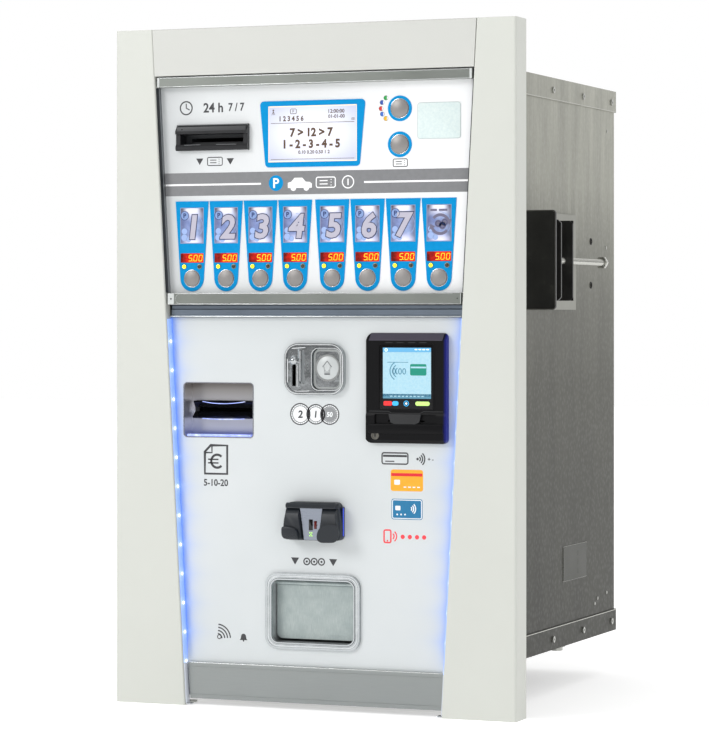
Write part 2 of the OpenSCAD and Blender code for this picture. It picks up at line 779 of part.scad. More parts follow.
// cup with its rim in front of the panel and its bowl behind
module change_cup() {
    y0 = panel_y - cup_proud;
    in_w = cup_w - 2 * cup_rim;
    in_h = cup_h - 2 * cup_rim;
    wall = 2;
    pin_z = cup_z + in_h / 2 - 5;
    color([0.75, 0.77, 0.77]) difference() {
        union() {
            front(y0, panel_y) translate([cup_x, cup_z]) rounded(cup_w, cup_h, 19);
            front(panel_y, cup_back) translate([cup_x, cup_z]) rounded(cup_w - 9, cup_h - 9, 14.5);
        }
        front(y0 - 1, panel_y) translate([cup_x, cup_z]) rounded(in_w, in_h, 11);
        front(panel_y - 1, cup_back - wall) translate([cup_x, cup_z]) rounded(in_w, in_h, cup_inner_r);
        // mouth that the coins drop through, in the back wall
        front(cup_back - wall - 1, cup_back + 1) translate([cup_x, cup_z + 18]) square([90, 30], center = true);
        bar_x(panel_y + flap_setback, pin_z, cup_x - in_w / 2 - 3.5, cup_x + in_w / 2 + 3.5, flap_pin_r + pin_gap);
    }
}

// flap that hangs from two stub pins and swings inwards
module change_flap() {
    in_w = cup_w - 2 * cup_rim;
    in_h = cup_h - 2 * cup_rim;
    y = panel_y + flap_setback;
    pin_z = cup_z + in_h / 2 - 5;
    z0 = cup_z - in_h / 2 + 4;
    gap = 1.5;
    color([0.68, 0.72, 0.72]) difference() {
        union() {
            front(y - flap_t / 2, y + flap_t / 2) {
                translate([cup_x, (pin_z + z0 + 8) / 2]) square([in_w - 2 * gap, pin_z - z0 - 8], center = true);
                translate([cup_x, z0 + 9]) rounded(in_w - 2 * gap, 18, 8.9);
            }
            bar_x(y, pin_z, cup_x - in_w / 2 + 2 * gap, cup_x + in_w / 2 - 2 * gap, flap_pin_r + 1);
            bar_x(y, pin_z, cup_x - in_w / 2 - 3, cup_x + in_w / 2 + 3, flap_pin_r);
        }
        // shallow channel along the lower edge
        block([cup_x - in_w / 2 + 12, y - flap_t / 2 - 1, z0 + 5], [cup_x + in_w / 2 - 12, y - flap_t / 2 + 0.5, z0 + 7]);
    }
}

// ---- housing ----

module housing_shell() {
    z0 = housing_z0 + cover_t;
    z1 = housing_z1 - cover_t;
    color([0.63, 0.63, 0.6]) for (s = [0, 1]) mirror([s, 0, 0]) difference() {
        union() {
            block([side_x - sheet_t, 0, z0], [side_x, side_y1, z1]);
            block([side_x - 22, 0, z0], [side_x, sheet_t, z1]);
            // stop lip for the door
            block([side_x - lip_w, lip_y - sheet_t, z0 + flange_h], [side_x, lip_y, z1 - flange_h]);
        }
        for (dz = [-spare_dz, spare_dz])
            bar_x(spare_y, clamp_z + dz, side_x - 5, side_x + 5, spare_r);
    }
    // leaves and outer knuckles of the door's two hinges
    color([0.63, 0.63, 0.6]) for (z = hinge_z) for (k = [-1, 1]) difference() {
        union() {
            block([-side_x + sheet_t, lip_y + 4, z - knuckle_h / 2 + k * (knuckle_h + knuckle_gap)],
                [-side_x + sheet_t + 1.4, hinge_y, z + knuckle_h / 2 + k * (knuckle_h + knuckle_gap)]);
            translate([hinge_x, hinge_y, z - knuckle_h / 2 + k * (knuckle_h + knuckle_gap)])
                cylinder(h = knuckle_h, r = hinge_r);
        }
        translate([hinge_x, hinge_y, z - 60]) cylinder(h = 120, r = hinge_pin_r);
    }
}

// folded cover plate: dir = 1 for the lid, whose flanges hang down, -1 for the base
module cover(z, dir) {
    x = side_x + cover_t;
    zf = z - dir * flange_h;
    zi = z - dir * cover_t;
    block([-x, 0, min(z, zi)], [x, housing_d, max(z, zi)]);
    for (s = [-1, 1]) block([s > 0 ? side_x : -x, 0, min(z, zf)], [s > 0 ? x : -side_x, housing_d, max(z, zf)]);
    block([-x, housing_d - cover_t, min(z, zf)], [x, housing_d, max(z, zf)]);
    ze = z - dir * front_flange_h;
    block([-throat_w / 2, 0, min(z, ze)], [throat_w / 2, cover_t, max(z, ze)]);
}

module housing_lid() {
    color([0.66, 0.66, 0.63]) cover(housing_z1, 1);
}

module housing_base() {
    color([0.6, 0.6, 0.57]) difference() {
        cover(housing_z0, -1);
        translate([side_x - 60, housing_d - 120, housing_z0 - 1]) cylinder(h = cover_t + 2, r = 10.2);
    }
}

module rear_door() {
    w = cover_t;
    color([0.63, 0.63, 0.6]) difference() {
        union() {
            difference() {
                block([door_x0, housing_d - door_t, door_z0], [door_x1, housing_d, door_z1]);
                block([door_x0 + w, housing_d - door_t - 1, door_z0 + w], [door_x1 - w, housing_d - w, door_z1 - w]);
            }
            // leaves and middle knuckles
            for (z = hinge_z) {
                block([hinge_x, housing_d, z - knuckle_h / 2], [door_x0 + 30, housing_d + 2, z + knuckle_h / 2]);
                translate([hinge_x, hinge_y, z - knuckle_h / 2]) cylinder(h = knuckle_h, r = hinge_r);
            }
            // lock barrel
            bar_y(lock_x, lock_z, housing_d - 18, housing_d + 3, plug_r + 4);
        }
        for (z = hinge_z) translate([hinge_x, hinge_y, z - 60]) cylinder(h = 120, r = hinge_pin_r + pin_gap);
        bar_y(lock_x, lock_z, housing_d - 19, housing_d + 4, plug_r + pin_gap);
    }
}

// plug and cam of the lock, stored unlocked with the cam upright
module door_lock() {
    cam_y = lip_y - sheet_t - 4;
    color([0.75, 0.73, 0.68]) difference() {
        union() {
            bar_y(lock_x, lock_z, cam_y, housing_d + 3, plug_r);
            block([lock_x - 8, cam_y, lock_z - 8], [lock_x + 8, cam_y + 2.5, lock_z + 38]);
        }
        block([lock_x - 1, housing_d - 8, lock_z - 4], [lock_x + 1, housing_d + 4, lock_z + 4]);
    }
}

// screws, rivets, hinge pins, rating plate and cable gland of the housing
module housing_hardware() {
    screw_z = [housing_z1 - 19, housing_z0 + 16];
    color([0.5, 0.5, 0.48]) {
        for (s = [0, 1]) mirror([s, 0, 0]) {
            for (z = screw_z, y = screw_rows) {
                difference() {
                    bar_x(y, z, side_x + cover_t, side_x + cover_t + 2.6, 5);
                    bar_x(y, z, side_x + cover_t + 1.4, side_x + cover_t + 3, 1.8);
                }
            }
            for (p = [[565, 871], [559, 684], [562, 131], [514, 126], [499, 119]])
                bar_x(p[0], p[1], side_x, side_x + 0.8, 2.6);
        }
        for (z = hinge_z) translate([hinge_x, hinge_y, z - 1.5 * knuckle_h - knuckle_gap - 2])
            cylinder(h = 3 * knuckle_h + 2 * knuckle_gap + 4, r = hinge_pin_r);
        // rating plate
        block([side_x, 337, 166], [side_x + 0.8, 454, 220]);
        // cable gland through the base
        translate([side_x - 60, housing_d - 120, 0]) difference() {
            union() {
                translate([0, 0, housing_z0 - 24]) cylinder(h = 24 + cover_t + 8, r = 10);
                translate([0, 0, housing_z0 - 18]) cylinder(h = 18, r = 14);
                translate([0, 0, housing_z0 + cover_t]) cylinder(h = 6, r = 13.5, $fn = 6);
            }
            translate([0, 0, housing_z0 - 25]) cylinder(h = 60, r = 5.5);
        }
    }
}

// ---- wall clamps ----

// plate on each side wall that the bracket stands on and the jaw slides along
module clamp_plates() {
    color([0.66, 0.66, 0.64]) for (s = [0, 1]) mirror([s, 0, 0])
        block([side_x, jaw_y - 120, clamp_z - jaw_h / 2], [side_x + clamp_base_t, clamp_base_y1, clamp_z + jaw_h / 2]);
}

// U-bracket on each side
module clamp_brackets() {
    x0 = side_x + clamp_base_t;
    x1 = side_x + clamp_reach;
    color([0.12, 0.12, 0.11]) for (s = [0, 1]) mirror([s, 0, 0]) {
        difference() {
            union() {
                block([x0, bracket_y0, clamp_z - bracket_h / 2], [x0 + bracket_t, bracket_y1, clamp_z + bracket_h / 2]);
                for (y = [bracket_y0, bracket_y1 - bracket_t])
                    block([x0, y, clamp_z - bracket_h / 2], [x1, y + bracket_t, clamp_z + bracket_h / 2]);
            }
            bar_y(bolt_x, clamp_z, bracket_y0 - 1, bracket_y1 + 1, bolt_r + joint_gap);
            for (z = [-1, 1]) translate([x1, bracket_y0 - 1, clamp_z + z * bracket_h / 2]) rotate([0, 45, 0])
                cube([7, 2 * (bracket_y1 - bracket_y0), 7], center = true);
        }
        // washer on the rear flange
        difference() {
            bar_y(bolt_x, clamp_z, bracket_y1, bracket_y1 + 2, 10);
            bar_y(bolt_x, clamp_z, bracket_y1 - 1, bracket_y1 + 3, bolt_r + joint_gap);
        }
    }
}

// plate that grips the back of the wall, the right one
module jaw() {
    x0 = side_x + clamp_base_t + joint_gap;
    x1 = side_x + clamp_reach + 1;
    w = x1 - x0;
    color([0.1, 0.1, 0.09]) difference() {
        union() {
            front(jaw_y, jaw_y + jaw_t) translate([(x0 + x1) / 2, clamp_z]) rounded(w, jaw_h, 5);
            // boss that the bolt turns in
            bar_y(bolt_x, clamp_z, jaw_y + jaw_t, jaw_y + jaw_t + 10, 9);
            bar_y(x0 + 9, clamp_z, jaw_y - 1, jaw_y, 2.6);
        }
        bar_y(bolt_x, clamp_z, jaw_y + 2, jaw_y + jaw_t + 11, bolt_r + pin_gap);
    }
}

module clamp_jaw_right() { jaw(); }
module clamp_jaw_left() { mirror([1, 0, 0]) jaw(); }

module clamp_bolt() {
    y0 = jaw_y + 2.2;
    color([0.6, 0.6, 0.58]) {
        bar_y(bolt_x, clamp_z, y0, y0 + bolt_len, bolt_r);
        translate([bolt_x, y0 + bolt_len, clamp_z]) rotate([-90, 0, 0]) cylinder(h = 7, r = 9.8, $fn = 6);
        bar_y(bolt_x, clamp_z, y0 + bolt_len - 3, y0 + bolt_len, 8);
    }
}

module clamp_bolt_right() { clamp_bolt(); }
module clamp_bolt_left() { mirror([1, 0, 0]) clamp_bolt(); }

// ---- inner modules ----

// printer behind the ticket mouth, with the cheeks and spindle of the roll
module ticket_printer() {
    y0 = panel_back + 12;
    z0 = ticket_z - 45;
    color([0.3, 0.3, 0.32]) {
        difference() {
            block([ticket_x - 54, y0, z0], [ticket_x + 54, y0 + 95, ticket_z + 40]);
            block([ticket_x - 42, y0 - 1, ticket_z - 6], [ticket_x + 42, y0 + 96, ticket_z]);
        }
        for (s = [-1, 1]) block([ticket_x + s * 50 - 2, y0 + 95, roll_z - 20], [ticket_x + s * 50 + 2, roll_y + 15, roll_z + 20]);
        bar_x(roll_y, roll_z, ticket_x - 48, ticket_x + 48, spindle_r);
    }
}

module paper_roll() {
    color([0.95, 0.95, 0.92]) difference() {
        bar_x(roll_y, roll_z, roll_x - roll_w / 2, roll_x + roll_w / 2, roll_r);
        bar_x(roll_y, roll_z, roll_x - roll_w, roll_x + roll_w, spindle_r + pin_gap);
    }
}

// two hoppers on their stand, and the chute to the change cup
module coin_hoppers() {
    y0 = hopper_y - 55;
    y1 = hopper_y + 55;
    color([0.25, 0.27, 0.3]) {
        for (s = [-1, 1]) {
            difference() {
                block([s * hopper_x - 46, y0, shelf_z + 3], [s * hopper_x + 46, y1, shelf_z + 3 + hopper_h]);
                translate([s * hopper_x, hopper_y, shelf_z + 9]) cylinder(h = hopper_h, r = hopper_r);
            }
            translate([s * hopper_x, hopper_y, shelf_z + 5]) cylinder(h = 24, r = disc_pin_r);
        }
        // stand
        block([-hopper_x - 50, y0, shelf_z], [hopper_x + 50, y1, shelf_z + 3]);
        for (s = [-1, 1]) block([s * (hopper_x + 48.5) - 1.5, y0, housing_z0 + cover_t], [s * (hopper_x + 48.5) + 1.5, y1, shelf_z]);
        // chute into the back of the cup
        along_x(-40, 40) polygon([
            [y0 + 15, shelf_z - 6], [y0 + 15, shelf_z - 9], [cup_back, cup_z + 3], [cup_back, cup_z + 6]]);
        for (s = [-1, 1]) along_x(s * 41.5 - 1.5, s * 41.5 + 1.5) polygon([
            [y0 + 15, shelf_z], [y0 + 15, shelf_z - 12], [cup_back, cup_z + 2], [cup_back, cup_z + 33], [y0, shelf_z]]);
    }
}

module hopper_disc(s) {
    color([0.7, 0.55, 0.25]) difference() {
        translate([s * hopper_x, hopper_y, shelf_z + 9.3]) cylinder(h = 5, r = hopper_r - 1);
        translate([s * hopper_x, hopper_y, shelf_z]) cylinder(h = 30, r = disc_pin_r + pin_gap);
        for (a = [0:60:300]) rotate_about([s * hopper_x, hopper_y, shelf_z], a)
            translate([24, 0, 0]) cylinder(h = 30, r = 10.5);
    }
}

// turns children about a vertical axis through p
module rotate_about(p, a) {
    translate(p) rotate([0, 0, a]) children();
}

module hopper_disc_left() { hopper_disc(-1); }
module hopper_disc_right() { hopper_disc(1); }

module cash_box() {
    x = hopper_x + 38;
    z0 = housing_z0 + cover_t;
    z1 = cup_z - 3;
    y1 = hopper_y + 60;
    color([0.4, 0.42, 0.45]) difference() {
        union() {
            block([-x, cup_back + 4, z0], [x, y1, z1]);
            // handle on the rear face
            for (s = [-1, 1]) block([s * 40 - 4, y1, z0 + 45], [s * 40 + 4, y1 + 25, z0 + 53]);
            block([-44, y1 + 20, z0 + 45], [44, y1 + 28, z0 + 53]);
        }
        block([-x + 3, cup_back + 7, z0 + 3], [x - 3, y1 - 3, z1 + 1]);
    }
}

// controller on the right wall and power supply on the left wall
module electronics() {
    x = side_x - sheet_t;
    color([0.35, 0.45, 0.38]) {
        block([x - 6, 140, 560], [x, 420, 860]);
        block([x - 8, 150, 570], [x - 6, 410, 850]);
        for (z = [600, 680, 760]) block([x - 24, 170, z], [x - 8, 240, z + 50]);
        block([x - 40, 280, 620], [x - 8, 380, 800]);
        block([-x, 330, 300], [-x + 62, 540, 520]);
        for (z = [320, 500]) block([-x + 62, 345, z], [-x + 66, 525, z + 5]);
    }
}

left_post();
right_post();
lintel();
mounting_frame();
top_rail();
mid_rail();
light_shelf();
bottom_rail();
light_strips();
upper_panel();
button_plates();
panel_windows();
bay_indicators();
button_switches();
bay_button_1();
bay_button_2();
bay_button_3();
bay_button_4();
bay_button_5();
bay_button_6();
bay_button_7();
bay_button_8();
language_button();
ticket_button();
display_frame();
display_glass();
display_module();
ticket_mouth();
lower_panel();
bill_recess();
bill_mouth();
bill_validator();
coin_bezel();
return_button();
coin_validator();
card_terminal();
terminal_screen();
key_reader();
key_socket();
change_cup();
change_flap();
housing_shell();
housing_lid();
housing_base();
rear_door();
door_lock();
housing_hardware();
clamp_plates();
clamp_brackets();
clamp_jaw_left();
clamp_jaw_right();
clamp_bolt_left();
clamp_bolt_right();
ticket_printer();
paper_roll();
coin_hoppers();
hopper_disc_left();
hopper_disc_right();
cash_box();
electronics();
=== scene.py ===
"""Visual model of a wall-built parking pay station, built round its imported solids."""

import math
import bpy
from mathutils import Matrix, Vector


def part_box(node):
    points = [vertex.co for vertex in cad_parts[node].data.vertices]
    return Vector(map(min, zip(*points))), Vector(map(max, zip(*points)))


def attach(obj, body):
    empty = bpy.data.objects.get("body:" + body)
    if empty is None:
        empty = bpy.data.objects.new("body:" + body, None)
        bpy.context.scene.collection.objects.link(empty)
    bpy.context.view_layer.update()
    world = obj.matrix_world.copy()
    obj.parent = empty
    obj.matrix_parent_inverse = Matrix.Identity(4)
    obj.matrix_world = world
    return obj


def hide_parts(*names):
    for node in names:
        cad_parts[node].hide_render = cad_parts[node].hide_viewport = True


bl_info = {
    "name": "Parking pay station",
    "version": (1, 0, 0),
    "blender": (4, 5, 0),
    "location": "View3D > Sidebar > Pay station",
    "description": "Adds the finishes, prints and small parts of a wall-built parking pay station",
    "category": "Add Mesh",
}

import bpy
import numpy as np

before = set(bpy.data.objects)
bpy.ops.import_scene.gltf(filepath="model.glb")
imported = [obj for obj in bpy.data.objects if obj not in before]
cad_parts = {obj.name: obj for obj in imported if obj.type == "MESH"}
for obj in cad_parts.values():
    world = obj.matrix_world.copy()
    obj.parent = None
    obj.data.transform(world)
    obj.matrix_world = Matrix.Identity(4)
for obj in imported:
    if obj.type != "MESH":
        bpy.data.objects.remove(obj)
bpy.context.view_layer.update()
FIXED = "station"

# Planes and places of the fascia, in millimetres: X right, Y into the wall, Z up.
FACE_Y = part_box("lintel")[0].y * 1000
PANEL_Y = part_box("upper_panel")[0].y * 1000
PLATE_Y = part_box("button_plates")[0].y * 1000
RAIL_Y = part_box("top_rail")[0].y * 1000
LIP = 0.25  # how far a print or foil sinks into what it lies on
OPENING_LOW, OPENING_HIGH = 202.0, 255.5  # half of the opening between the leaning posts, at Z = 0 and at Z = 1000
BAY_BUTTONS = [f"bay_button_{i}" for i in range(1, 9)]
SERVICE_BUTTONS = ["language_button", "ticket_button"]


def centre(node):
    """Middle of a node's box, in millimetres."""
    low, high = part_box(node)
    return np.array((low + high) / 2) * 1000


def corners(node):
    """Lowest and highest corner of a node, in millimetres."""
    low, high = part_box(node)
    return np.array(low) * 1000, np.array(high) * 1000


BAYS = [centre(node) for node in BAY_BUTTONS]


# ---- colours and materials ----


def linear(colour):
    """An sRGB hex value as linear red, green, blue and alpha: c/12.92 below 0.04045, else ((c+0.055)/1.055)^2.4."""
    c = np.array([int(colour[i : i + 2], 16) / 255 for i in (1, 3, 5)])
    c = np.where(c <= 0.04045, c / 12.92, ((c + 0.055) / 1.055) ** 2.4)
    return (*c.tolist(), 1.0)


def add(tree, kind, links=None, **settings):
    """Adds one node. links maps an input to a node or (node, output); a setting names a property or an input."""
    made = tree.nodes.new("ShaderNode" + kind)
    for key, value in settings.items():
        if hasattr(made, key):
            setattr(made, key, value)
        else:
            made.inputs[int(key[1:]) if key[0] == "_" else key.replace("_", " ")].default_value = value
    for key, source in (links or {}).items():
        source = source if isinstance(source, tuple) else (source, 0)
        tree.links.new(source[0].outputs[source[1]], made.inputs[key])
    return made


def blank(name, hexa, roughness, metallic=0.0, **settings):
    """A new material with its shader and a texture coordinate node, and its plain colour set."""
    material = bpy.data.materials.new(name)
    material.use_nodes = True
    material.diffuse_color = linear(hexa)
    tree = material.node_tree
    shader = tree.nodes["Principled BSDF"]
    shader.inputs["Base Color"].default_value = linear(hexa)
    shader.inputs["Roughness"].default_value = roughness
    shader.inputs["Metallic"].default_value = metallic
    for key, value in settings.items():
        shader.inputs[key.replace("_", " ")].default_value = value
    return material, tree, shader, add(tree, "TexCoord")


def ramp(tree, source, stops):
    """Colour ramp with (place, hex or grey) stops."""
    made = add(tree, "ValToRGB", {"Fac": source})
    band = made.color_ramp
    while len(band.elements) < len(stops):
        band.elements.new(0.5)
    for element, (place, tint) in zip(band.elements, stops):
        element.position = place
        element.color = linear(tint) if isinstance(tint, str) else (tint, tint, tint, 1)
    return made


def noise(tree, coord, scale, detail=2.0, roughness=0.5):
    """Noise in the object's own coordinates; scale is in patterns per metre, so 1000 divided by their size in mm."""
    return add(tree, "TexNoise", {"Vector": (coord, "Object")}, Scale=scale, Detail=detail, Roughness=roughness)


def lines_along(tree, coord, stretch, scale, detail=2.0, roughness=0.5):
    """Noise drawn out into fine lines along the axis whose stretch factor is small."""
    drawn = add(tree, "Mapping", {"Vector": (coord, "Object")}, Scale=stretch)
    return add(tree, "TexNoise", {"Vector": drawn}, Scale=scale, Detail=detail, Roughness=roughness)


def maths(tree, operation, *terms, **settings):
    """A math node. Each term is a number, a node or (node, output)."""
    links = {i: term for i, term in enumerate(terms) if not isinstance(term, (int, float))}
    values = {f"_{i}": term for i, term in enumerate(terms) if i not in links}
    return add(tree, "Math", links, operation=operation, **values, **settings)


def remap(tree, source, low, high, to_low=0.0, to_high=1.0, **settings):
    """Carries a value from low..high to to_low..to_high, clamped at both ends."""
    return add(tree, "MapRange", {"Value": source}, _1=low, _2=high, _3=to_low, _4=to_high, **settings)


def feed(shader, key, node, output=0):
    """Links a node's output to one of the shader's inputs."""
    shader.id_data.links.new(node.outputs[output], shader.inputs[key])


def bump(tree, shader, height, strength, mm):
    """Links a height to the shader's normal; mm is how high the pattern stands."""
    made = add(tree, "Bump", {"Height": height}, Strength=strength, Distance=mm / 1000)
    feed(shader, "Normal", made)


def powder_coat(name, hexa, roughness=0.42, peel=1.4, shade=0.035):
    """Powder-coated sheet steel: an even colour with a faint orange peel about 1.4 mm across and slow soiling."""
    material, tree, shader, coord = blank(name, hexa, roughness)
    peel_noise = noise(tree, coord, 1000 / peel)
    soil = noise(tree, coord, 6.0, 4.0, 0.6)
    dark = tuple(c * (1 - 2 * shade) for c in linear(hexa)[:3]) + (1,)
    tint = add(tree, "Mix", {"Factor": (soil, "Fac")}, data_type="RGBA", _6=dark, _7=linear(hexa))
    feed(shader, "Base Color", tint, 2)
    sheen = remap(tree, (soil, "Fac"), 0.0, 1.0, roughness - 0.05, roughness + 0.07)
    feed(shader, "Roughness", sheen)
    bump(tree, shader, (peel_noise, "Fac"), 0.12, 0.05)
    return material


def drawn_metal(name, hexa, roughness=0.34, grain=(1.0, 1.0, 0.02), pitch=0.6, shade=0.12, metallic=1.0, spread=0.1):
    """Drawn or brushed metal: fine lines along the axis whose grain factor is small, about 0.6 mm apart."""
    material, tree, shader, coord = blank(name, hexa, roughness, metallic)
    lines = lines_along(tree, coord, grain, 1000 / pitch, 3.0, 0.7)
    cloud = noise(tree, coord, 9.0, 3.0)
    dark = tuple(c * (1 - shade) for c in linear(hexa)[:3]) + (1,)
    light = tuple(min(c * (1 + shade), 1.0) for c in linear(hexa)[:3]) + (1,)
    tint = add(tree, "Mix", {"Factor": (lines, "Fac")}, data_type="RGBA", _6=dark, _7=light)
    feed(shader, "Base Color", tint, 2)
    wear = maths(tree, "ADD", (lines, "Fac"), (cloud, "Fac"))
    rough = remap(tree, wear, 0.6, 1.4, roughness - spread, roughness + spread)
    feed(shader, "Roughness", rough)
    bump(tree, shader, (lines, "Fac"), 0.1, 0.04)
    return material


def moulded(name, hexa, roughness=0.45, grain=0.8, lift=0.25, **settings):
    """Injection-moulded plastic: even colour, a fine spark-eroded grain about 0.8 mm across, slight sheen changes."""
    material, tree, shader, coord = blank(name, hexa, roughness, **settings)
    skin = noise(tree, coord, 1000 / grain)
    cloud = noise(tree, coord, 25.0, 3.0)
    rough = remap(tree, (cloud, "Fac"), 0.0, 1.0, max(roughness - 0.08, 0.03), roughness + 0.08)
    feed(shader, "Roughness", rough)
    bump(tree, shader, (skin, "Fac"), lift, 0.05)
    return material


def printed(name, hexa, roughness=0.4, **settings):
    """Screen-printed ink on a panel: flat colour whose density changes a little over a few millimetres."""
    material, tree, shader, coord = blank(name, hexa, roughness, **settings)
    mottle = noise(tree, coord, 160.0)
    pale = tuple(min(c * 1.18 + 0.004, 1.0) for c in linear(hexa)[:3]) + (1,)
    tint = add(tree, "Mix", {"Factor": (mottle, "Fac")}, data_type="RGBA", _6=linear(hexa), _7=pale)
    feed(shader, "Base Color", tint, 2)
    return material


def lit(name, hexa, strength, edge=None):
    """A lamp or lit film, or painted light on a part that is no lamp: it shines by itself, a little unevenly, as its
    diffuser is never quite even.
    """
    material, tree, shader, coord = blank(name, hexa, 0.35, Emission_Strength=strength)
    cloud = noise(tree, coord, 300.0)
    tint = ramp(tree, (cloud, "Fac"), [(0.25, edge or hexa), (0.6, hexa)])
    feed(shader, "Emission Color", tint)
    return material


# ---- shapes, as arrays of points in millimetres ----


def stack(rings, close=False):
    """Skin over rings of points: ring k joins ring k+1 with quads; the end rings are capped, or joined if close."""
    rings = np.asarray(rings, float)
    m, n = rings.shape[:2]
    index = np.arange(m * n).reshape(m, n)
    nxt = np.roll(index, -1, 1)
    low, high = (index, np.roll(index, -1, 0)) if close else (index[:-1], index[1:])
    low_n, high_n = (nxt, np.roll(nxt, -1, 0)) if close else (nxt[:-1], nxt[1:])
    faces = np.stack([low, low_n, high_n, high], -1).reshape(-1, 4).tolist()
    if not close:
        faces += [index[0][::-1].tolist(), index[-1].tolist()]
    return rings.reshape(-1, 3), faces


def inset(outline, distance):
    """Moves each point of a closed outline inwards by distance, along the mean of its two edges' normals."""
    step = np.roll(outline, -1, 0) - outline
    step /= np.maximum(np.linalg.norm(step, axis=1, keepdims=True), 1e-9)
    normal = np.stack([-step[:, 1], step[:, 0]], 1)
    mean = normal + np.roll(normal, 1, 0)
    length = np.maximum((mean**2).sum(1, keepdims=True), 0.5)
    return outline + distance * 2 * mean / length


def plate(outline, back, front, edge=0.0, steps=3):
    """A plate with a closed outline in X and Z, counter-clockwise, from back to front along Y.

    The front edge is a quarter round: at angle a the ring is inset by edge(1-cos a) and lies edge(1-sin a) behind
    the front.
    """
    outline = np.asarray(outline, float)
    rings = [(outline, back)]
    for a in np.linspace(0, math.pi / 2, steps + 1) if edge else [0.0]:
        rings.append((inset(outline, edge * (1 - math.cos(a))), front + edge * (1 - math.sin(a))))
    return stack([np.column_stack([o[:, 0], np.full(len(o), y), o[:, 1]]) for o, y in rings])


def rounded_box(x, z, w, h, r=0.0, n=6):
    """Outline of a rectangle with corner arcs of radius r: four arcs of n+1 points each, counter-clockwise."""
    if r <= 0:
        return np.array([(x + s * w / 2, z + t * h / 2) for s, t in ((-1, -1), (1, -1), (1, 1), (-1, 1))])
    a = np.linspace(0, math.pi / 2, n + 1)
    arcs = [
        np.column_stack([x + sx * (w / 2 - r) + r * np.cos(a + t), z + sz * (h / 2 - r) + r * np.sin(a + t)])
        for sx, sz, t in ((1, 1, 0), (-1, 1, math.pi / 2), (-1, -1, math.pi), (1, -1, 1.5 * math.pi))
    ]
    return np.concatenate(arcs)


def softened(points, r, n=5):
    """An outline with each corner P rounded by a quadratic curve.

    P weighs 2u(1-u), and the points r before and after it weigh (1-u)^2 and u^2.
    """
    points = np.array(points, float)
    out = []
    for i, p in enumerate(points):
        before, after = points[i - 1] - p, points[(i + 1) % len(points)] - p
        a = p + before * min(0.48, r / np.linalg.norm(before))
        b = p + after * min(0.48, r / np.linalg.norm(after))
        for u in np.linspace(0, 1, n):
            out.append((1 - u) ** 2 * a + 2 * u * (1 - u) * p + u * u * b)
    return np.array(out)


def placed_at(outline, y):
    """An outline in X and Z as a ring at depth y."""
    return np.column_stack([outline[:, 0], np.full(len(outline), float(y)), outline[:, 1]])


def circle(x, z, r, n=32):
    """Outline of a circle with n points, counter-clockwise."""
    a = np.linspace(0, 2 * math.pi, n, endpoint=False)
    return np.column_stack([x + r * np.cos(a), z + r * np.sin(a)])


def turned(x, z, profile, n=40, close=False):
    """Solid of revolution about a line along Y. profile is (radius, y) pairs; close joins the last to the first."""
    a = np.linspace(0, 2 * math.pi, n, endpoint=False)
    return stack([np.column_stack([x + r * np.cos(a), np.full(n, y), z + r * np.sin(a)]) for r, y in profile], close)


def turned_across(y, z, profile, n=24, close=False):
    """Solid of revolution about a line along X, with (radius, x) pairs."""
    a = np.linspace(0, 2 * math.pi, n, endpoint=False)
    return stack([np.column_stack([np.full(n, x), y + r * np.cos(a), z + r * np.sin(a)]) for r, x in profile], close)


def stroke(path, width, back, front, closed=False):
    """A flat stroke along a path in X and Z: a rectangle stands square to the mean direction at each point."""
    p = np.asarray(path, float)
    if closed:
        step = np.roll(p, -1, 0) - np.roll(p, 1, 0)
    else:
        step = np.gradient(p, axis=0)
    step /= np.maximum(np.linalg.norm(step, axis=1, keepdims=True), 1e-9)
    side = np.column_stack([-step[:, 1], step[:, 0]]) * width / 2
    y0, y1 = np.full(len(p), back), np.full(len(p), front)
    left, right = p + side, p - side
    rings = np.stack(
        [
            np.column_stack([left[:, 0], y1, left[:, 1]]),
            np.column_stack([left[:, 0], y0, left[:, 1]]),
            np.column_stack([right[:, 0], y0, right[:, 1]]),
            np.column_stack([right[:, 0], y1, right[:, 1]]),
        ],
        1,
    )
    return stack(rings, close=closed)


def arc(x, z, r, start, end, n=20):
    """Points on an arc, angles in degrees from +X towards +Z."""
    a = np.radians(np.linspace(start, end, n))
    return np.column_stack([x + r * np.cos(a), z + r * np.sin(a)])


def word(text, x, z, height, back, front, bold=0.0, slant=0.0, squeeze=1.0):
    """Digits or a sign as a mesh standing in X and Z, centred on x and z, from back to front along Y."""
    curve = bpy.data.curves.new("sign", "FONT")
    curve.body = text
    curve.align_x, curve.align_y = "CENTER", "BOTTOM_BASELINE"
    curve.size = height / 0.7
    curve.shear = slant
    curve.offset = bold
    curve.extrude = abs(back - front) / 2
    curve.resolution_u = 3
    holder = bpy.data.objects.new("sign", curve)
    bpy.context.scene.collection.objects.link(holder)
    bpy.context.view_layer.update()
    mesh = bpy.data.meshes.new_from_object(holder.evaluated_get(bpy.context.evaluated_depsgraph_get()))
    points = np.empty(len(mesh.vertices) * 3)
    mesh.vertices.foreach_get("co", points)
    points = points.reshape(-1, 3)
    faces = [list(face.vertices) for face in mesh.polygons]
    bpy.data.objects.remove(holder)
    bpy.data.curves.remove(curve)
    bpy.data.meshes.remove(mesh)
    mid = (points[:, :2].min(0) + points[:, :2].max(0)) / 2
    across, up = x + (points[:, 0] - mid[0]) * squeeze, z + points[:, 1] - mid[1]
    return np.column_stack([across, (back + front) / 2 - points[:, 2], up]), faces


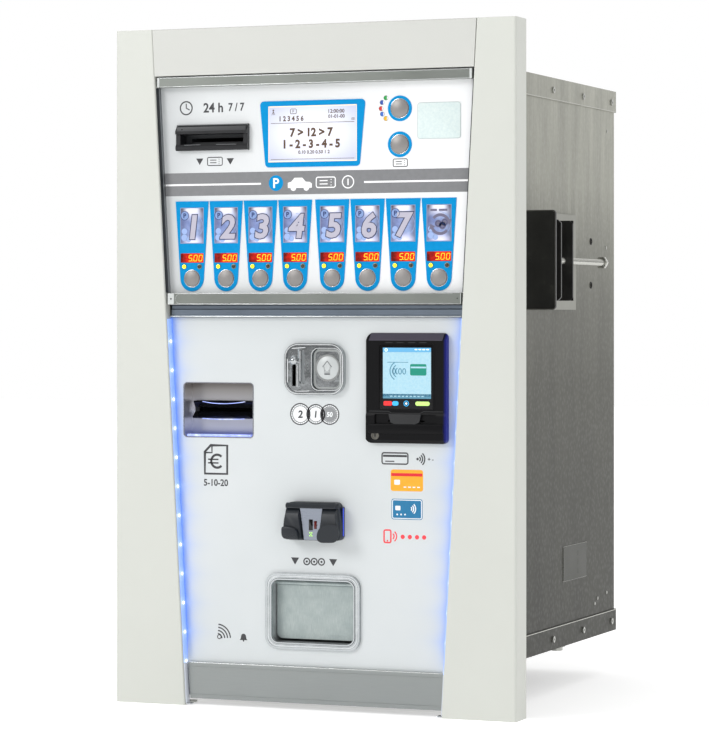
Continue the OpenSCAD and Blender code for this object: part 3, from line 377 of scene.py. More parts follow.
class Shape:
    """Gathers parts with their materials and makes them one piece at the origin."""

    def __init__(self):
        self.points, self.faces, self.slots, self.uvs, self.count = [], [], [], [], 0

    def add(self, part, slot=0, uv=None):
        """Adds (points, faces), turned so that its signed volume is positive: the sum of a.(b x c) over its triangles.

        uv is (x0, z0, x1, z1) of the area that the map covers from 0 to 1.
        """
        points, faces = part
        fans = np.array([(f[0], i, k) for f in faces for i, k in zip(f[1:], f[2:])])
        a, b, c = points[fans].transpose(1, 0, 2)
        if (a * np.cross(b, c)).sum() < 0:
            faces = [f[::-1] for f in faces]
        x0, z0, x1, z1 = uv or (0, 0, 1000, 1000)
        self.uvs.append((points[:, [0, 2]] - (x0, z0)) / (x1 - x0, z1 - z0))
        self.points.append(points)
        self.faces += [[i + self.count for i in face] for face in faces]
        self.slots += [slot] * len(faces)
        self.count += len(points)
        return self

    def add_all(self, parts, slot=0):
        """Adds several parts with the same material."""
        for part in parts:
            self.add(part, slot)

    def piece(self, name, body, materials, finish=None, smooth=None, stands_for=()):
        """Makes the object in metres and rides it on its body; finish is not used."""
        mesh = bpy.data.meshes.new(name)
        mesh.from_pydata((np.concatenate(self.points) / 1000).tolist(), [], self.faces)
        mesh.polygons.foreach_set("material_index", self.slots)
        layer = mesh.uv_layers.new(name="flat")
        corner = np.empty(len(mesh.loops), int)
        mesh.loops.foreach_get("vertex_index", corner)
        layer.data.foreach_set("uv", np.concatenate(self.uvs)[corner].ravel())
        for material in materials:
            mesh.materials.append(material)
        mesh.validate()
        if smooth:
            mesh.polygons.foreach_set("use_smooth", [True] * len(mesh.polygons))
            mesh.set_sharp_from_angle(angle=math.radians(smooth))
        mesh.update()
        made = bpy.data.objects.new(name, mesh)
        bpy.context.scene.collection.objects.link(made)
        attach(made, body)
        if stands_for:
            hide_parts(*stands_for)
        return made


def dress(material, *nodes):
    """Gives CAD nodes a material in all of their slots."""
    for node in nodes:
        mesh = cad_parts[node].data
        mesh.materials.clear()
        mesh.materials.append(material)


# ---- sizes and colours that a user may change ----


def tint_property(name, hexa, description):
    """A colour property with an sRGB hex default."""
    return bpy.props.FloatVectorProperty(
        name=name, description=description, subtype="COLOR", size=4, min=0.0, max=1.0, default=linear(hexa)
    )


def length_property(name, mm, description, low=0.1, high=200.0):
    """A length property in millimetres."""
    return bpy.props.FloatProperty(name=name, description=description, default=mm, min=low, max=high, unit="NONE")


class StationSizes(bpy.types.PropertyGroup):
    """Sizes of the added parts, in millimetres"""

    print_rise: length_property("Print", 0.12, "How far a print stands out from its panel", 0.05, 1.0)
    foil_rise: length_property("Foil", 0.3, "How far a picture foil stands out from its window", 0.1, 1.0)
    lamp_pitch: length_property("Lamp pitch", 43.0, "Distance between the lamps of a light strip", 20.0, 80.0)
    band_low: length_property("Band bottom", 753.0, "Height of the grey band's lower edge", 748.0, 760.0)
    band_high: length_property("Band top", 787.0, "Height of the grey band's upper edge", 780.0, 795.0)
    digit_height: length_property("Bay digit", 33.0, "Height of the digit in a bay window", 20.0, 40.0)
    readout_height: length_property("Readout digit", 9.6, "Height of a digit on a price readout", 6.0, 11.0)
    thread_pitch: length_property("Thread pitch", 1.5, "Pitch of the thread on the clamp bolts", 1.0, 3.0)
    glow_reach: length_property("Glow reach", 9.0, "How far the strips' light spreads over the lower panel", 4.0, 60.0)


class StationColours(bpy.types.PropertyGroup):
    """Main colours"""

    film: tint_property("Blue film", "#0089C6", "Plates round the bay buttons and the display")
    ink: tint_property("Ink", "#38383B", "Dark printed signs on the two panels")
    glow: tint_property("Glow", "#5187F0", "Light of the strips beside the lower panel")
    band: tint_property("Band", "#7B7C7E", "Band across the upper panel")


def hex_of(colour):
    """sRGB hex value of a linear colour property: the inverse of linear()."""
    c = np.clip(np.array(colour[:3]), 0, 1)
    c = np.where(c <= 0.0031308, c * 12.92, 1.055 * c ** (1 / 2.4) - 0.055)
    return "#" + "".join(f"{int(round(v * 255)):02X}" for v in c)


def sizes():
    """The sizes of the scene."""
    return bpy.context.scene.station_sizes


def colours():
    """The colours of the scene."""
    return bpy.context.scene.station_colours


def half_open(z):
    """Half of the opening between the leaning posts at height z: a straight line between its lower and upper width."""
    return OPENING_LOW + (OPENING_HIGH - OPENING_LOW) * np.asarray(z, float) / 1000.0


def lamp_distance(tree, height):
    """Distance from the nearest lamp in pitches: |fract(height / pitch) - 0.5|, as the lamps stand at half pitches."""
    share = maths(tree, "FRACT", maths(tree, "MULTIPLY", height, 1000 / sizes().lamp_pitch))
    return maths(tree, "ABSOLUTE", maths(tree, "SUBTRACT", share, 0.5))


# ---- stage ----


class StationStage(bpy.types.Operator):
    """Adds the camera, the pale floor and the soft lights"""

    bl_idname = "station.stage"
    bl_label = "Stage"

    def execute(self, context):
        scene = context.scene
        scene.view_settings.view_transform = "Standard"
        lens = bpy.data.cameras.new("camera")
        lens.sensor_width, lens.lens, lens.shift_y = 36.0, 148.0, -0.0816
        lens.clip_end = 60.0
        camera = bpy.data.objects.new("camera", lens)
        camera.location = (1.7284, -4.1679, 0.5796)
        camera.rotation_euler = (math.pi / 2, 0.0, math.radians(21.93))
        scene.collection.objects.link(camera)
        scene.camera = camera

        world = bpy.data.worlds.new("studio")
        world.use_nodes = True
        scene.world = world
        tree = world.node_tree
        sky = add(tree, "TexCoord")
        part = add(tree, "SeparateXYZ", {"Vector": (sky, "Generated")})
        away = ramp(tree, (part, "Y"), [(0.0, 0.0), (0.15, 0.25), (0.5, 1.0)])
        rise = ramp(tree, (part, "Z"), [(0.0, 0.13), (0.12, 0.25), (0.4, 0.62), (0.9, 0.48)])
        both = add(tree, "Mix", {0: away, 6: rise}, data_type="RGBA", _7=(1.0, 1.0, 1.0, 1.0))
        tree.links.new(both.outputs[2], tree.nodes["Background"].inputs["Color"])
        tree.nodes["Background"].inputs["Strength"].default_value = 1.0

        floor = bpy.data.meshes.new("floor")
        far = 14.0
        floor.from_pydata([(-far, -far, 0), (far, -far, 0), (far, far, 0), (-far, far, 0)], [], [(0, 1, 2, 3)])
        material, tree, shader, coord = blank("matt_floor_paint", "#F6F6F6", 0.9)
        shader.inputs["Emission Color"].default_value = linear("#FFFFFF")
        shader.inputs["Emission Strength"].default_value = 0.5
        cloud = noise(tree, coord, 3.0)
        shade = ramp(tree, (cloud, "Fac"), [(0.2, "#F2F2F2"), (0.8, "#F8F8F8")])
        feed(shader, "Base Color", shade)
        floor.materials.append(material)
        ground = bpy.data.objects.new("floor", floor)
        scene.collection.objects.link(ground)

        for name, power, size, place, aim in (
            ("key", 62.0, 1.5, (-2.3, -3.2, 2.5), (0.0, 0.0, 0.5)),
            ("fill", 17.0, 1.8, (2.2, -3.4, 1.0), (0.0, 0.0, 0.45)),
            ("top", 10.0, 2.0, (0.2, -1.0, 3.2), (0.0, 0.2, 0.5)),
        ):
            lamp = bpy.data.lights.new(name, "AREA")
            lamp.energy, lamp.size = power, size
            holder = bpy.data.objects.new(name, lamp)
            holder.location = place
            spot = np.array(aim) - np.array(place)
            flat = math.hypot(spot[0], spot[1])
            holder.rotation_euler = (math.atan2(flat, -spot[2]), 0.0, math.atan2(spot[1], spot[0]) - math.pi / 2)
            scene.collection.objects.link(holder)
        return {"FINISHED"}


# ---- fascia ----


def strip_skin(z0, z1, side, thick=1.5, front=None):
    """A strip on a post's inner wall: a rounded rectangle in X and Y, carried up the leaning wall from z0 to z1."""
    y0, y1 = (front or FACE_Y + 3), PANEL_Y - 0.3
    flat = rounded_box(0, 0, thick, y1 - y0, min(0.5, thick / 3), 3)
    rings = []
    for z in np.linspace(z0, z1, 24):
        x = half_open(z) - 0.2 - thick / 2
        rings.append(np.column_stack([side * (x + flat[:, 0]), (y0 + y1) / 2 + flat[:, 1], np.full(len(flat), z)]))
    return stack(rings)


class StationFascia(bpy.types.Operator):
    """Finishes the covers, the light strips and the rails"""

    bl_idname = "station.fascia"
    bl_label = "Fascia, strips and rails"

    def execute(self, context):
        size, tone = sizes(), colours()
        # Covers: warm white powder coat, the lintel a shade darker as painted shade; the frame behind is bare
        # galvanised steel.
        dress(powder_coat("powder_coated_steel_posts", "#D2D4CD", 0.45), "left_post", "right_post")
        dress(powder_coat("powder_coated_lintel_painted_shade", "#CDCEC9", 0.45), "lintel")
        dress(drawn_metal("galvanised_steel_frame", "#9A9A92", 0.5), "mounting_frame")

        # Acrylic diffuser with a lamp every few centimetres: white cores, blue in between, clear below the last lamp.
        glow = hex_of(tone.glow)
        diffuser, tree, shader, coord = blank("acrylic_light_diffuser", "#A9C1F2", 0.3, Emission_Strength=0.45)
        part = add(tree, "SeparateXYZ", {"Vector": (coord, "Object")})
        near = lamp_distance(tree, (part, "Z"))
        hot = ramp(tree, near, [(0.0, "#F4F8FF"), (0.04, "#C9DCFF"), (0.12, "#86A8F0"), (0.3, glow)])
        feed(shader, "Emission Color", hot)
        clear = moulded("clear_acrylic_end", "#D9DEE8", 0.2)
        dark = drawn_metal("anthracite_anodised_reveal", "#2E3236", 0.4, pitch=0.8, metallic=0.7)
        pale = drawn_metal("bright_anodised_bead", "#8D9194", 0.35)
        foot = drawn_metal("stainless_strip_foot", "#B9BCC0", 0.25)
        lit_low, lit_high, upper = 62.0, 571.0, (609.8, 913.0)
        shape = Shape()
        for side in (-1, 1):
            shape.add(strip_skin(lit_low, lit_high, side), 0)
            shape.add(strip_skin(3.2, lit_low - 0.3, side), 1)
            shape.add(strip_skin(*upper, side), 2)
            shape.add(strip_skin(upper[0], upper[1], side, 2.1, PANEL_Y - 6.4), 3)
            x = side * (half_open(0) - 4)
            shape.add(plate(rounded_box(x, 2.0, 7.4, 2.0, 0.4), PANEL_Y - 2, FACE_Y + 3, 0.4), 4)
        shape.piece("side_strips", FIXED, [diffuser, clear, dark, pale, foot], "strip_diffuser", 40, ["light_strips"])

        # Lamps: a row of small domes on the strip's face, each white-hot.
        lamp = lit("white_lamp_dome", "#FFFFFF", 2.2, "#DDE8FF")
        shape = Shape()
        for side in (-1, 1):
            for z in np.arange(1.5, 13.4) * size.lamp_pitch:
                x = side * (half_open(z) - 1.6)
                dome = [(r, x - side * h) for r, h in ((2.3, -0.2), (2.3, 0.3), (1.7, 0.9), (0.6, 1.2))]
                shape.add(turned_across(PANEL_Y - 7, z, dome, 14))
        shape.piece("strip_lamps", FIXED, [lamp], "strip_diffuser", 40)

        # Rails: extruded aluminium, anodised satin, with its drawing lines along X and pale edge lines as painted
        # highlights.
        rail = drawn_metal("anodised_aluminium_rail", "#8B8F8A", 0.36, (0.02, 1, 1), 0.5, 0.08)
        edge = drawn_metal("aluminium_edge_painted_highlight", "#D2D5D4", 0.25, (0.02, 1, 1), 0.5, 0.08)
        cap = moulded("pale_rail_end_cap", "#C9CDCB", 0.35)
        hole = moulded("painted_shade_black", "#15171A", 0.7)
        dress(rail, "top_rail", "mid_rail")
        low, high = corners("top_rail")
        shape = Shape()
        x = high[0]
        for edge_z in (high[2] - 0.7, low[2] + 0.7):
            shape.add(plate(rounded_box(0, edge_z, 2 * x - 9, 1.0, 0.3), RAIL_Y + 0.3, RAIL_Y - 0.5, 0.3), 0)
        for side in (-1, 1):
            outline = rounded_box(side * (x - 2.1), (low[2] + high[2]) / 2, 3.8, high[2] - low[2], 0.6)
            shape.add(plate(outline, PANEL_Y, RAIL_Y - 0.6, 0.6), 1)
        low, high = corners("mid_rail")
        x, z = high[0], (low[2] + high[2]) / 2
        for edge_z in (high[2] - 0.3, low[2] + 0.3):
            shape.add(plate(rounded_box(0, edge_z, 2 * x - 1, 0.8, 0.2), RAIL_Y + 1.4, RAIL_Y + 0.1, 0.2), 0)
        for side in (-1, 1):
            outline = rounded_box(side * (x - 5.2), z, 10.2, high[2] - low[2] - 0.4, 1.2)
            shape.add(plate(outline, RAIL_Y + 1.5, RAIL_Y + 0.2, 0.5), 1)
            # dark disc in the end piece: painted shade of its hole
            shape.add(turned(side * (x - 5.5), z, [(1.3, RAIL_Y + 0.5), (1.3, RAIL_Y + 0.05), (0.9, RAIL_Y)], 16), 2)
        # fine pale line along the middle rail's face, rounded at its left end: a painted highlight
        rim = np.concatenate([[(x - 13, z + 7)], arc(20 - x, z, 7.0, 90, 270, 24), [(x - 13, z - 7)]])
        shape.add(stroke(rim, 0.7, RAIL_Y + LIP, RAIL_Y - 0.2), 0)
        shape.piece("rail_trims", FIXED, [edge, cap, hole], "anodised_rail", 40)

        # Shelf: the same extrusion, tinted blue by painted light of the strips, a dark line of painted shade under its
        # lip.
        shelf = drawn_metal("anodised_shelf_painted_blue_light", "#79838F", 0.33, (0.02, 1, 1), 0.5, 0.08)
        dress(shelf, "light_shelf")
        low, high = corners("light_shelf")
        shape = Shape()
        # pale lip line along its bottom: a painted highlight
        shape.add(plate(rounded_box(0, low[2] + 1.0, 2 * high[0] - 1, 1.5, 0.4), PANEL_Y - 6.5, PANEL_Y - 7.4, 0.4), 0)
        # dark band near the shelf's top: painted shade
        shape.add(plate(rounded_box(0, high[2] - 5.8, 2 * high[0] - 1, 6.4), PANEL_Y - 1, PANEL_Y - 1.9), 1)
        shape.piece("shelf_lines", FIXED, [edge, hole], "shelf_profile", 40)

        # Kick rail: brushed aluminium, duller than the rails above.
        dress(drawn_metal("brushed_aluminium_kick_rail", "#9A9E9D", 0.38, (0.02, 1, 1), 0.45, 0.1), "bottom_rail")
        low, high = corners("bottom_rail")
        shape = Shape()
        # pale line along the kick rail's top edge: a painted highlight
        z = high[2] - 0.9
        shape.add(plate(rounded_box(0, z, 2 * (half_open(z) - 5), 1.4, 0.5), low[1] + 1.4, low[1] - 0.2, 0.4), 0)
        shape.piece("kick_rail_edge", FIXED, [edge], "anodised_rail", 40)
        return {"FINISHED"}


# ---- upper panel ----


def car(x, z, w, back, front):
    """Side view of a car: a closed outline of body and roof, with two wheels a little proud of it."""
    body = [(-50, -12), (50, -12), (50, 4), (42, 10), (24, 12), (10, 27), (-22, 27), (-36, 12), (-50, 8)]
    body = np.array(body, float) * w / 100 + (x, z)
    return [plate(body, back, front)] + [
        plate(circle(x + s * w * 0.27, z - w * 0.12, w * 0.115, 20), back, front - 0.05) for s in (-1, 1)
    ]


def ticket_sign(x, z, w, back, front):
    """A ticket: a rounded outline with two short lines and a row of dots for its perforation."""
    h = w * 0.5
    parts = [stroke(rounded_box(x, z, w, h, h * 0.18, 3), w * 0.055, back, front, True)]
    for line_z in (z - h * 0.16, z + h * 0.16):
        parts.append(stroke([(x - w * 0.32, line_z), (x + w * 0.1, line_z)], w * 0.05, back, front))
    parts += [plate(circle(x + w * 0.28, z + k * h, w * 0.028, 8), back, front) for k in (-0.27, 0, 0.27)]
    return parts


def triangle_down(x, z, w, back, front):
    """A triangle that points down, w wide and 0.8 w high."""
    return plate([(x, z - w * 0.42), (x + w / 2, z + w * 0.4), (x - w / 2, z + w * 0.4)], back, front)


def segment_digit(text, x, z, h, back, front, slant=0.16):
    """Seven-segment digits. Each bar is a hexagon between two of six knots, and x moves by slant times z."""
    w, gap, bar = h * 0.52, h * 0.86, h * 0.1
    knots = {
        "a": ((0, 1), (1, 1)), "b": ((1, 1), (1, 0.5)), "c": ((1, 0.5), (1, 0)), "d": ((0, 0), (1, 0)),
        "e": ((0, 0.5), (0, 0)), "f": ((0, 1), (0, 0.5)), "g": ((0, 0.5), (1, 0.5)),
    }
    bars = dict(zip("0123456789", "abcdef bc abged abgcd fgbc afgcd afgecd abc abcdefg abcdfg".split()))
    parts, at = [], 0.0
    for sign in text:
        if sign == ".":
            parts.append(circle(at - gap + w + h * 0.13, bar / 2, bar * 0.62, 10))
            continue
        for name in bars[sign]:
            p, q = (np.array(k) * (w, h - bar) + (0, bar / 2) for k in knots[name])
            along = (q - p) / np.linalg.norm(q - p)
            side = np.array([-along[1], along[0]]) * bar / 2
            p, q = p + along * bar * 0.15, q - along * bar * 0.15
            nose = along * bar / 2
            hexagon = [p, p + nose - side, q - nose - side, q, q - nose + side, p + nose + side]
            parts.append(np.array(hexagon) + (at, 0))
        at += gap
    width = at - gap + w
    placed = []
    for part in parts:
        px, pz = part[:, 0] - width / 2, part[:, 1] - h / 2
        placed.append(plate(np.column_stack([x + px + slant * pz, z + pz]), back, front))
    return placed


class StationDisplay(bpy.types.Operator):
    """Finishes the upper panel with its band, signs, display, ticket mouth and label"""

    bl_idname = "station.display"
    bl_label = "Upper panel and display"

    def execute(self, context):
        size, tone = sizes(), colours()
        # Cast acrylic: a white body under a clear gloss surface, with painted shade that darkens it towards the left
        # post.
        coat = {"Coat_Weight": 0.6, "Coat_Roughness": 0.06}
        acrylic, tree, shader, coord = blank("cast_white_acrylic", "#F7F8FA", 0.22, **coat)
        cloud = noise(tree, coord, 7.0)
        rough = remap(tree, (cloud, "Fac"), 0.0, 1.0, 0.16, 0.3)
        feed(shader, "Roughness", rough)
        part = add(tree, "SeparateXYZ", {"Vector": (coord, "Object")})
        along = remap(tree, (part, "X"), -0.25, 0.15)
        shade = ramp(tree, along, [(0.0, "#CCCFD0"), (0.2, "#E2E5E6"), (0.6, "#E9EBEC"), (1.0, "#F8F9FA")])
        feed(shader, "Base Color", shade)
        dress(acrylic, "upper_panel")
        film = printed("blue_polyester_film", hex_of(tone.film), 0.34, Specular_IOR_Level=0.1)
        dress(film, "button_plates", "display_frame")
        ink = printed("dark_grey_ink", hex_of(tone.ink))
        white = printed("white_ink", "#FAFBFC", 0.3)
        grey = printed("grey_band_ink", hex_of(tone.band), 0.33)
        y, rise = PANEL_Y, size.print_rise
        at, top = (y + LIP, y - rise), y - 2 * rise
        low, high = size.band_low, size.band_high
        mid = (low + high) / 2
        edge = half_open(mid) - 2.6
        shape = Shape()
        shape.add(plate([(-edge, low), (edge, low), (edge + 1.4, high), (-edge - 1.4, high)], *at), 0)
        for x0, x1 in ((-edge, -86), (77, edge)):
            shape.add(plate(rounded_box((x0 + x1) / 2, mid - 0.6, x1 - x0, 2.7), y, top), 1)
        shape.add(plate(circle(-62, mid, 11.5, 40), y, top), 3)
        shape.add(word("P", -61.6, mid, 14, y, top - rise, 0.35), 1)
        shape.add_all(car(-24, mid - 3, 38, y, top) + ticket_sign(17, mid, 30, y, top), 1)
        shape.add(stroke(circle(52, mid, 8.8, 32), 1.7, y, top, True), 1)
        shape.add(word("1", 52, mid, 9, y, top, 0.25), 1)
        # ticket signs under the ticket mouth and the lower service button
        shape.add_all([triangle_down(-185.0, 803.6, 11.6, *at), triangle_down(-135.4, 803.2, 11.6, *at)], 2)
        shape.add_all(ticket_sign(-160.3, 803.6, 24, *at) + ticket_sign(133.3, 796.3, 22, *at), 2)
        # clock sign and opening hours in the upper left
        shape.add(stroke(circle(-207, 883.4, 9.6, 36), 2.0, *at, True), 2)
        shape.add(stroke([(-207, 890), (-207, 883.4), (-201.6, 880.6)], 1.7, *at), 2)
        shape.add(word("24 h", -163, 883.2, 13.5, *at, 0.5, 0, 0.95), 2)
        shape.add(word("7 / 7", -125.5, 883.2, 11.5, *at, 0.4, 0, 0.85), 2)
        # language signs beside the upper service button
        signs = (
            ("#2E9B4B", 111.0, 890.4), ("#2A4FA8", 105.1, 883.9), ("#C9302A", 103.5, 875.1),
            ("#3B6CC4", 105.5, 867.1), ("#E8B21E", 111.0, 860.6),
        )
        inks = [grey, white, ink, film]
        for tint, x, z in signs:
            inks.append(printed("sign_ink_" + tint[1:].lower(), tint, 0.35))
            shape.add(plate(circle(x, z, 3.3, 24), *at), len(inks) - 1)
            shape.add(plate(arc(x, z, 3.3, -60, 60, 10), y, top), 1)
            shape.add(stroke(circle(x, z, 3.3, 24), 0.35, y, y - 2.5 * rise, True), 2)
        shape.piece("upper_panel_prints", FIXED, inks, "white_acrylic")

        # Label window: frosted pale plastic with a fine weave of moulding lines.
        label, tree, shader, coord = blank("frosted_label_window", "#D8E6E4", 0.5)
        grain = noise(tree, coord, 260.0, 4.0, 0.7)
        shade = ramp(tree, (grain, "Fac"), [(0.3, "#CFDFDF"), (0.7, "#DFEBE8")])
        feed(shader, "Base Color", shade)
        bump(tree, shader, (grain, "Fac"), 0.2, 0.08)
        frame_line = moulded("label_window_edge", "#B9C4C4", 0.35)
        shape = Shape().add(plate(rounded_box(193, 856, 65.4, 51.4, 3.6), PANEL_Y, PLATE_Y + 0.2, 0.25), 0)
        shape.add(stroke(rounded_box(193, 856, 65.6, 51.6, 3.8), 0.7, PANEL_Y + LIP, PLATE_Y + 0.1, True), 1)
        shape.piece("label_window", FIXED, [label, frame_line], "lit_window", 40)

        # Display: a transflective liquid crystal behind glass, lilac in the middle and warm along its edge.
        looks = {"Emission_Strength": 0.42, "Coat_Weight": 0.5}
        glass, tree, shader, coord = blank("liquid_crystal_glass", "#CACDDD", 0.12, **looks)
        cx, cz = centre("display_glass")[[0, 2]]
        moved = add(tree, "Mapping", {"Vector": (coord, "Object")}, Location=(-cx / 1000, 0, -cz / 1000))
        spread = add(tree, "VectorMath", {0: moved}, _1=(11.0, 0.0, 18.0), operation="MULTIPLY")
        reach = add(tree, "VectorMath", {0: spread}, operation="LENGTH")
        shade = ramp(tree, (reach, "Value"), [(0.0, "#E9EAF0"), (0.6, "#CFD2E0"), (1.0, "#B4B8CC")])
        feed(shader, "Base Color", shade)
        feed(shader, "Emission Color", shade)
        dress(glass, "display_glass")
        low, high = corners("display_glass")
        front = low[1]
        crystal = printed("brown_crystal_segments", "#57402F", 0.3)
        peach = lit("peach_backlight_edge", "#F0D9B8", 0.5)
        shape = Shape()
        shape.add(stroke(rounded_box(cx, cz, 138.6, 80.6), 1.5, front + 0.1, front - 0.1, True), 1)
        screen = (front + 0.1, front - 0.12)
        shape.add(stroke([(cx - 66, 857.4), (cx + 66, 857.4)], 0.7, *screen), 0)
        shape.add(stroke([(cx - 66, 804.5), (cx + 66, 804.5)], 0.6, *screen), 0)
        shape.add(plate(circle(-66, 876.5, 1.3, 12), *screen), 0)
        for k in (-2.6, 0, 2.6):
            shape.add(stroke([(-66, 875), (-66 + k, 869.5)], 0.6, *screen), 0)
        shape.add(stroke(rounded_box(-34, 874.4, 9.5, 7, 1.6, 3), 0.8, *screen, True), 0)
        for text, x, z, height, bold, squeeze in (
            ("12:00:00", 34, 873.5, 5.4, 0.16, 1.0),
            ("01-01-00", 34, 866.0, 5.0, 0.16, 1.0),
            ("00", 60, 861.6, 3.8, 0.0, 1.0),
            ("P", -34, 874.4, 4.2, 0.0, 1.0),
            ("1 2 3 4 5 6", -37, 864, 7.0, 0.35, 0.9),
            ("7 > 12 > 7", -5.5, 843.4, 11.6, 0.75, 0.95),
            ("1 - 2 - 3 - 4 - 5", -5.0, 826.6, 11.6, 0.75, 0.92),
            ("0.10 0.20 0.50 1 2", -1.5, 814.6, 4.8, 0.16, 1.0),
        ):
            shape.add(word(text, x, z, height, *screen, bold, 0, squeeze), 0)
        shape.piece("display_signs", FIXED, [crystal, peach], "lcd")

        # Ticket mouth: black ABS, its shutter glossier than the frame, with pale lines along its edge as painted
        # highlights.
        dress(moulded("black_abs_mouth", "#16171A", 0.32), "ticket_mouth")
        shutter = moulded("polished_black_shutter", "#060607", 0.12)
        rubbed = moulded("black_edge_painted_highlight", "#6E7072", 0.3)
        low, high = corners("ticket_mouth")
        x, z = centre("ticket_mouth")[[0, 2]]
        shape = Shape()
        shape.add(plate(rounded_box(x, z + 11.6, 112, 8.6, 1.0), low[1] + 6, low[1] + 0.2, 0.6), 2)
        shape.add(stroke([(x - 44, low[2] + 8.2), (x - 18, low[2] + 8.4)], 0.8, low[1] + 3.5, low[1] + 1.4), 1)
        shape.add(stroke([(x + 8, low[2] + 8.4), (x + 40, low[2] + 8.2)], 0.8, low[1] + 3.5, low[1] + 1.4), 1)
        shape.add(stroke(rounded_box(x, z, 114.6, 37.0, 2.6), 1.1, PANEL_Y - 3, PANEL_Y - 4.4, True), 1)
        shape.add(plate(rounded_box(x - 47, z + 12, 2, 1.2), low[1] + 1, low[1] + 0.1), 0)
        hood = moulded("grey_black_hood", "#3A3B3D", 0.4)
        shape.piece("ticket_mouth_trims", FIXED, [shutter, rubbed, hood], "black_plastic", 40)
        dress(moulded("green_printed_board", "#2C5A3C", 0.45), "display_module")
        return {"FINISHED"}


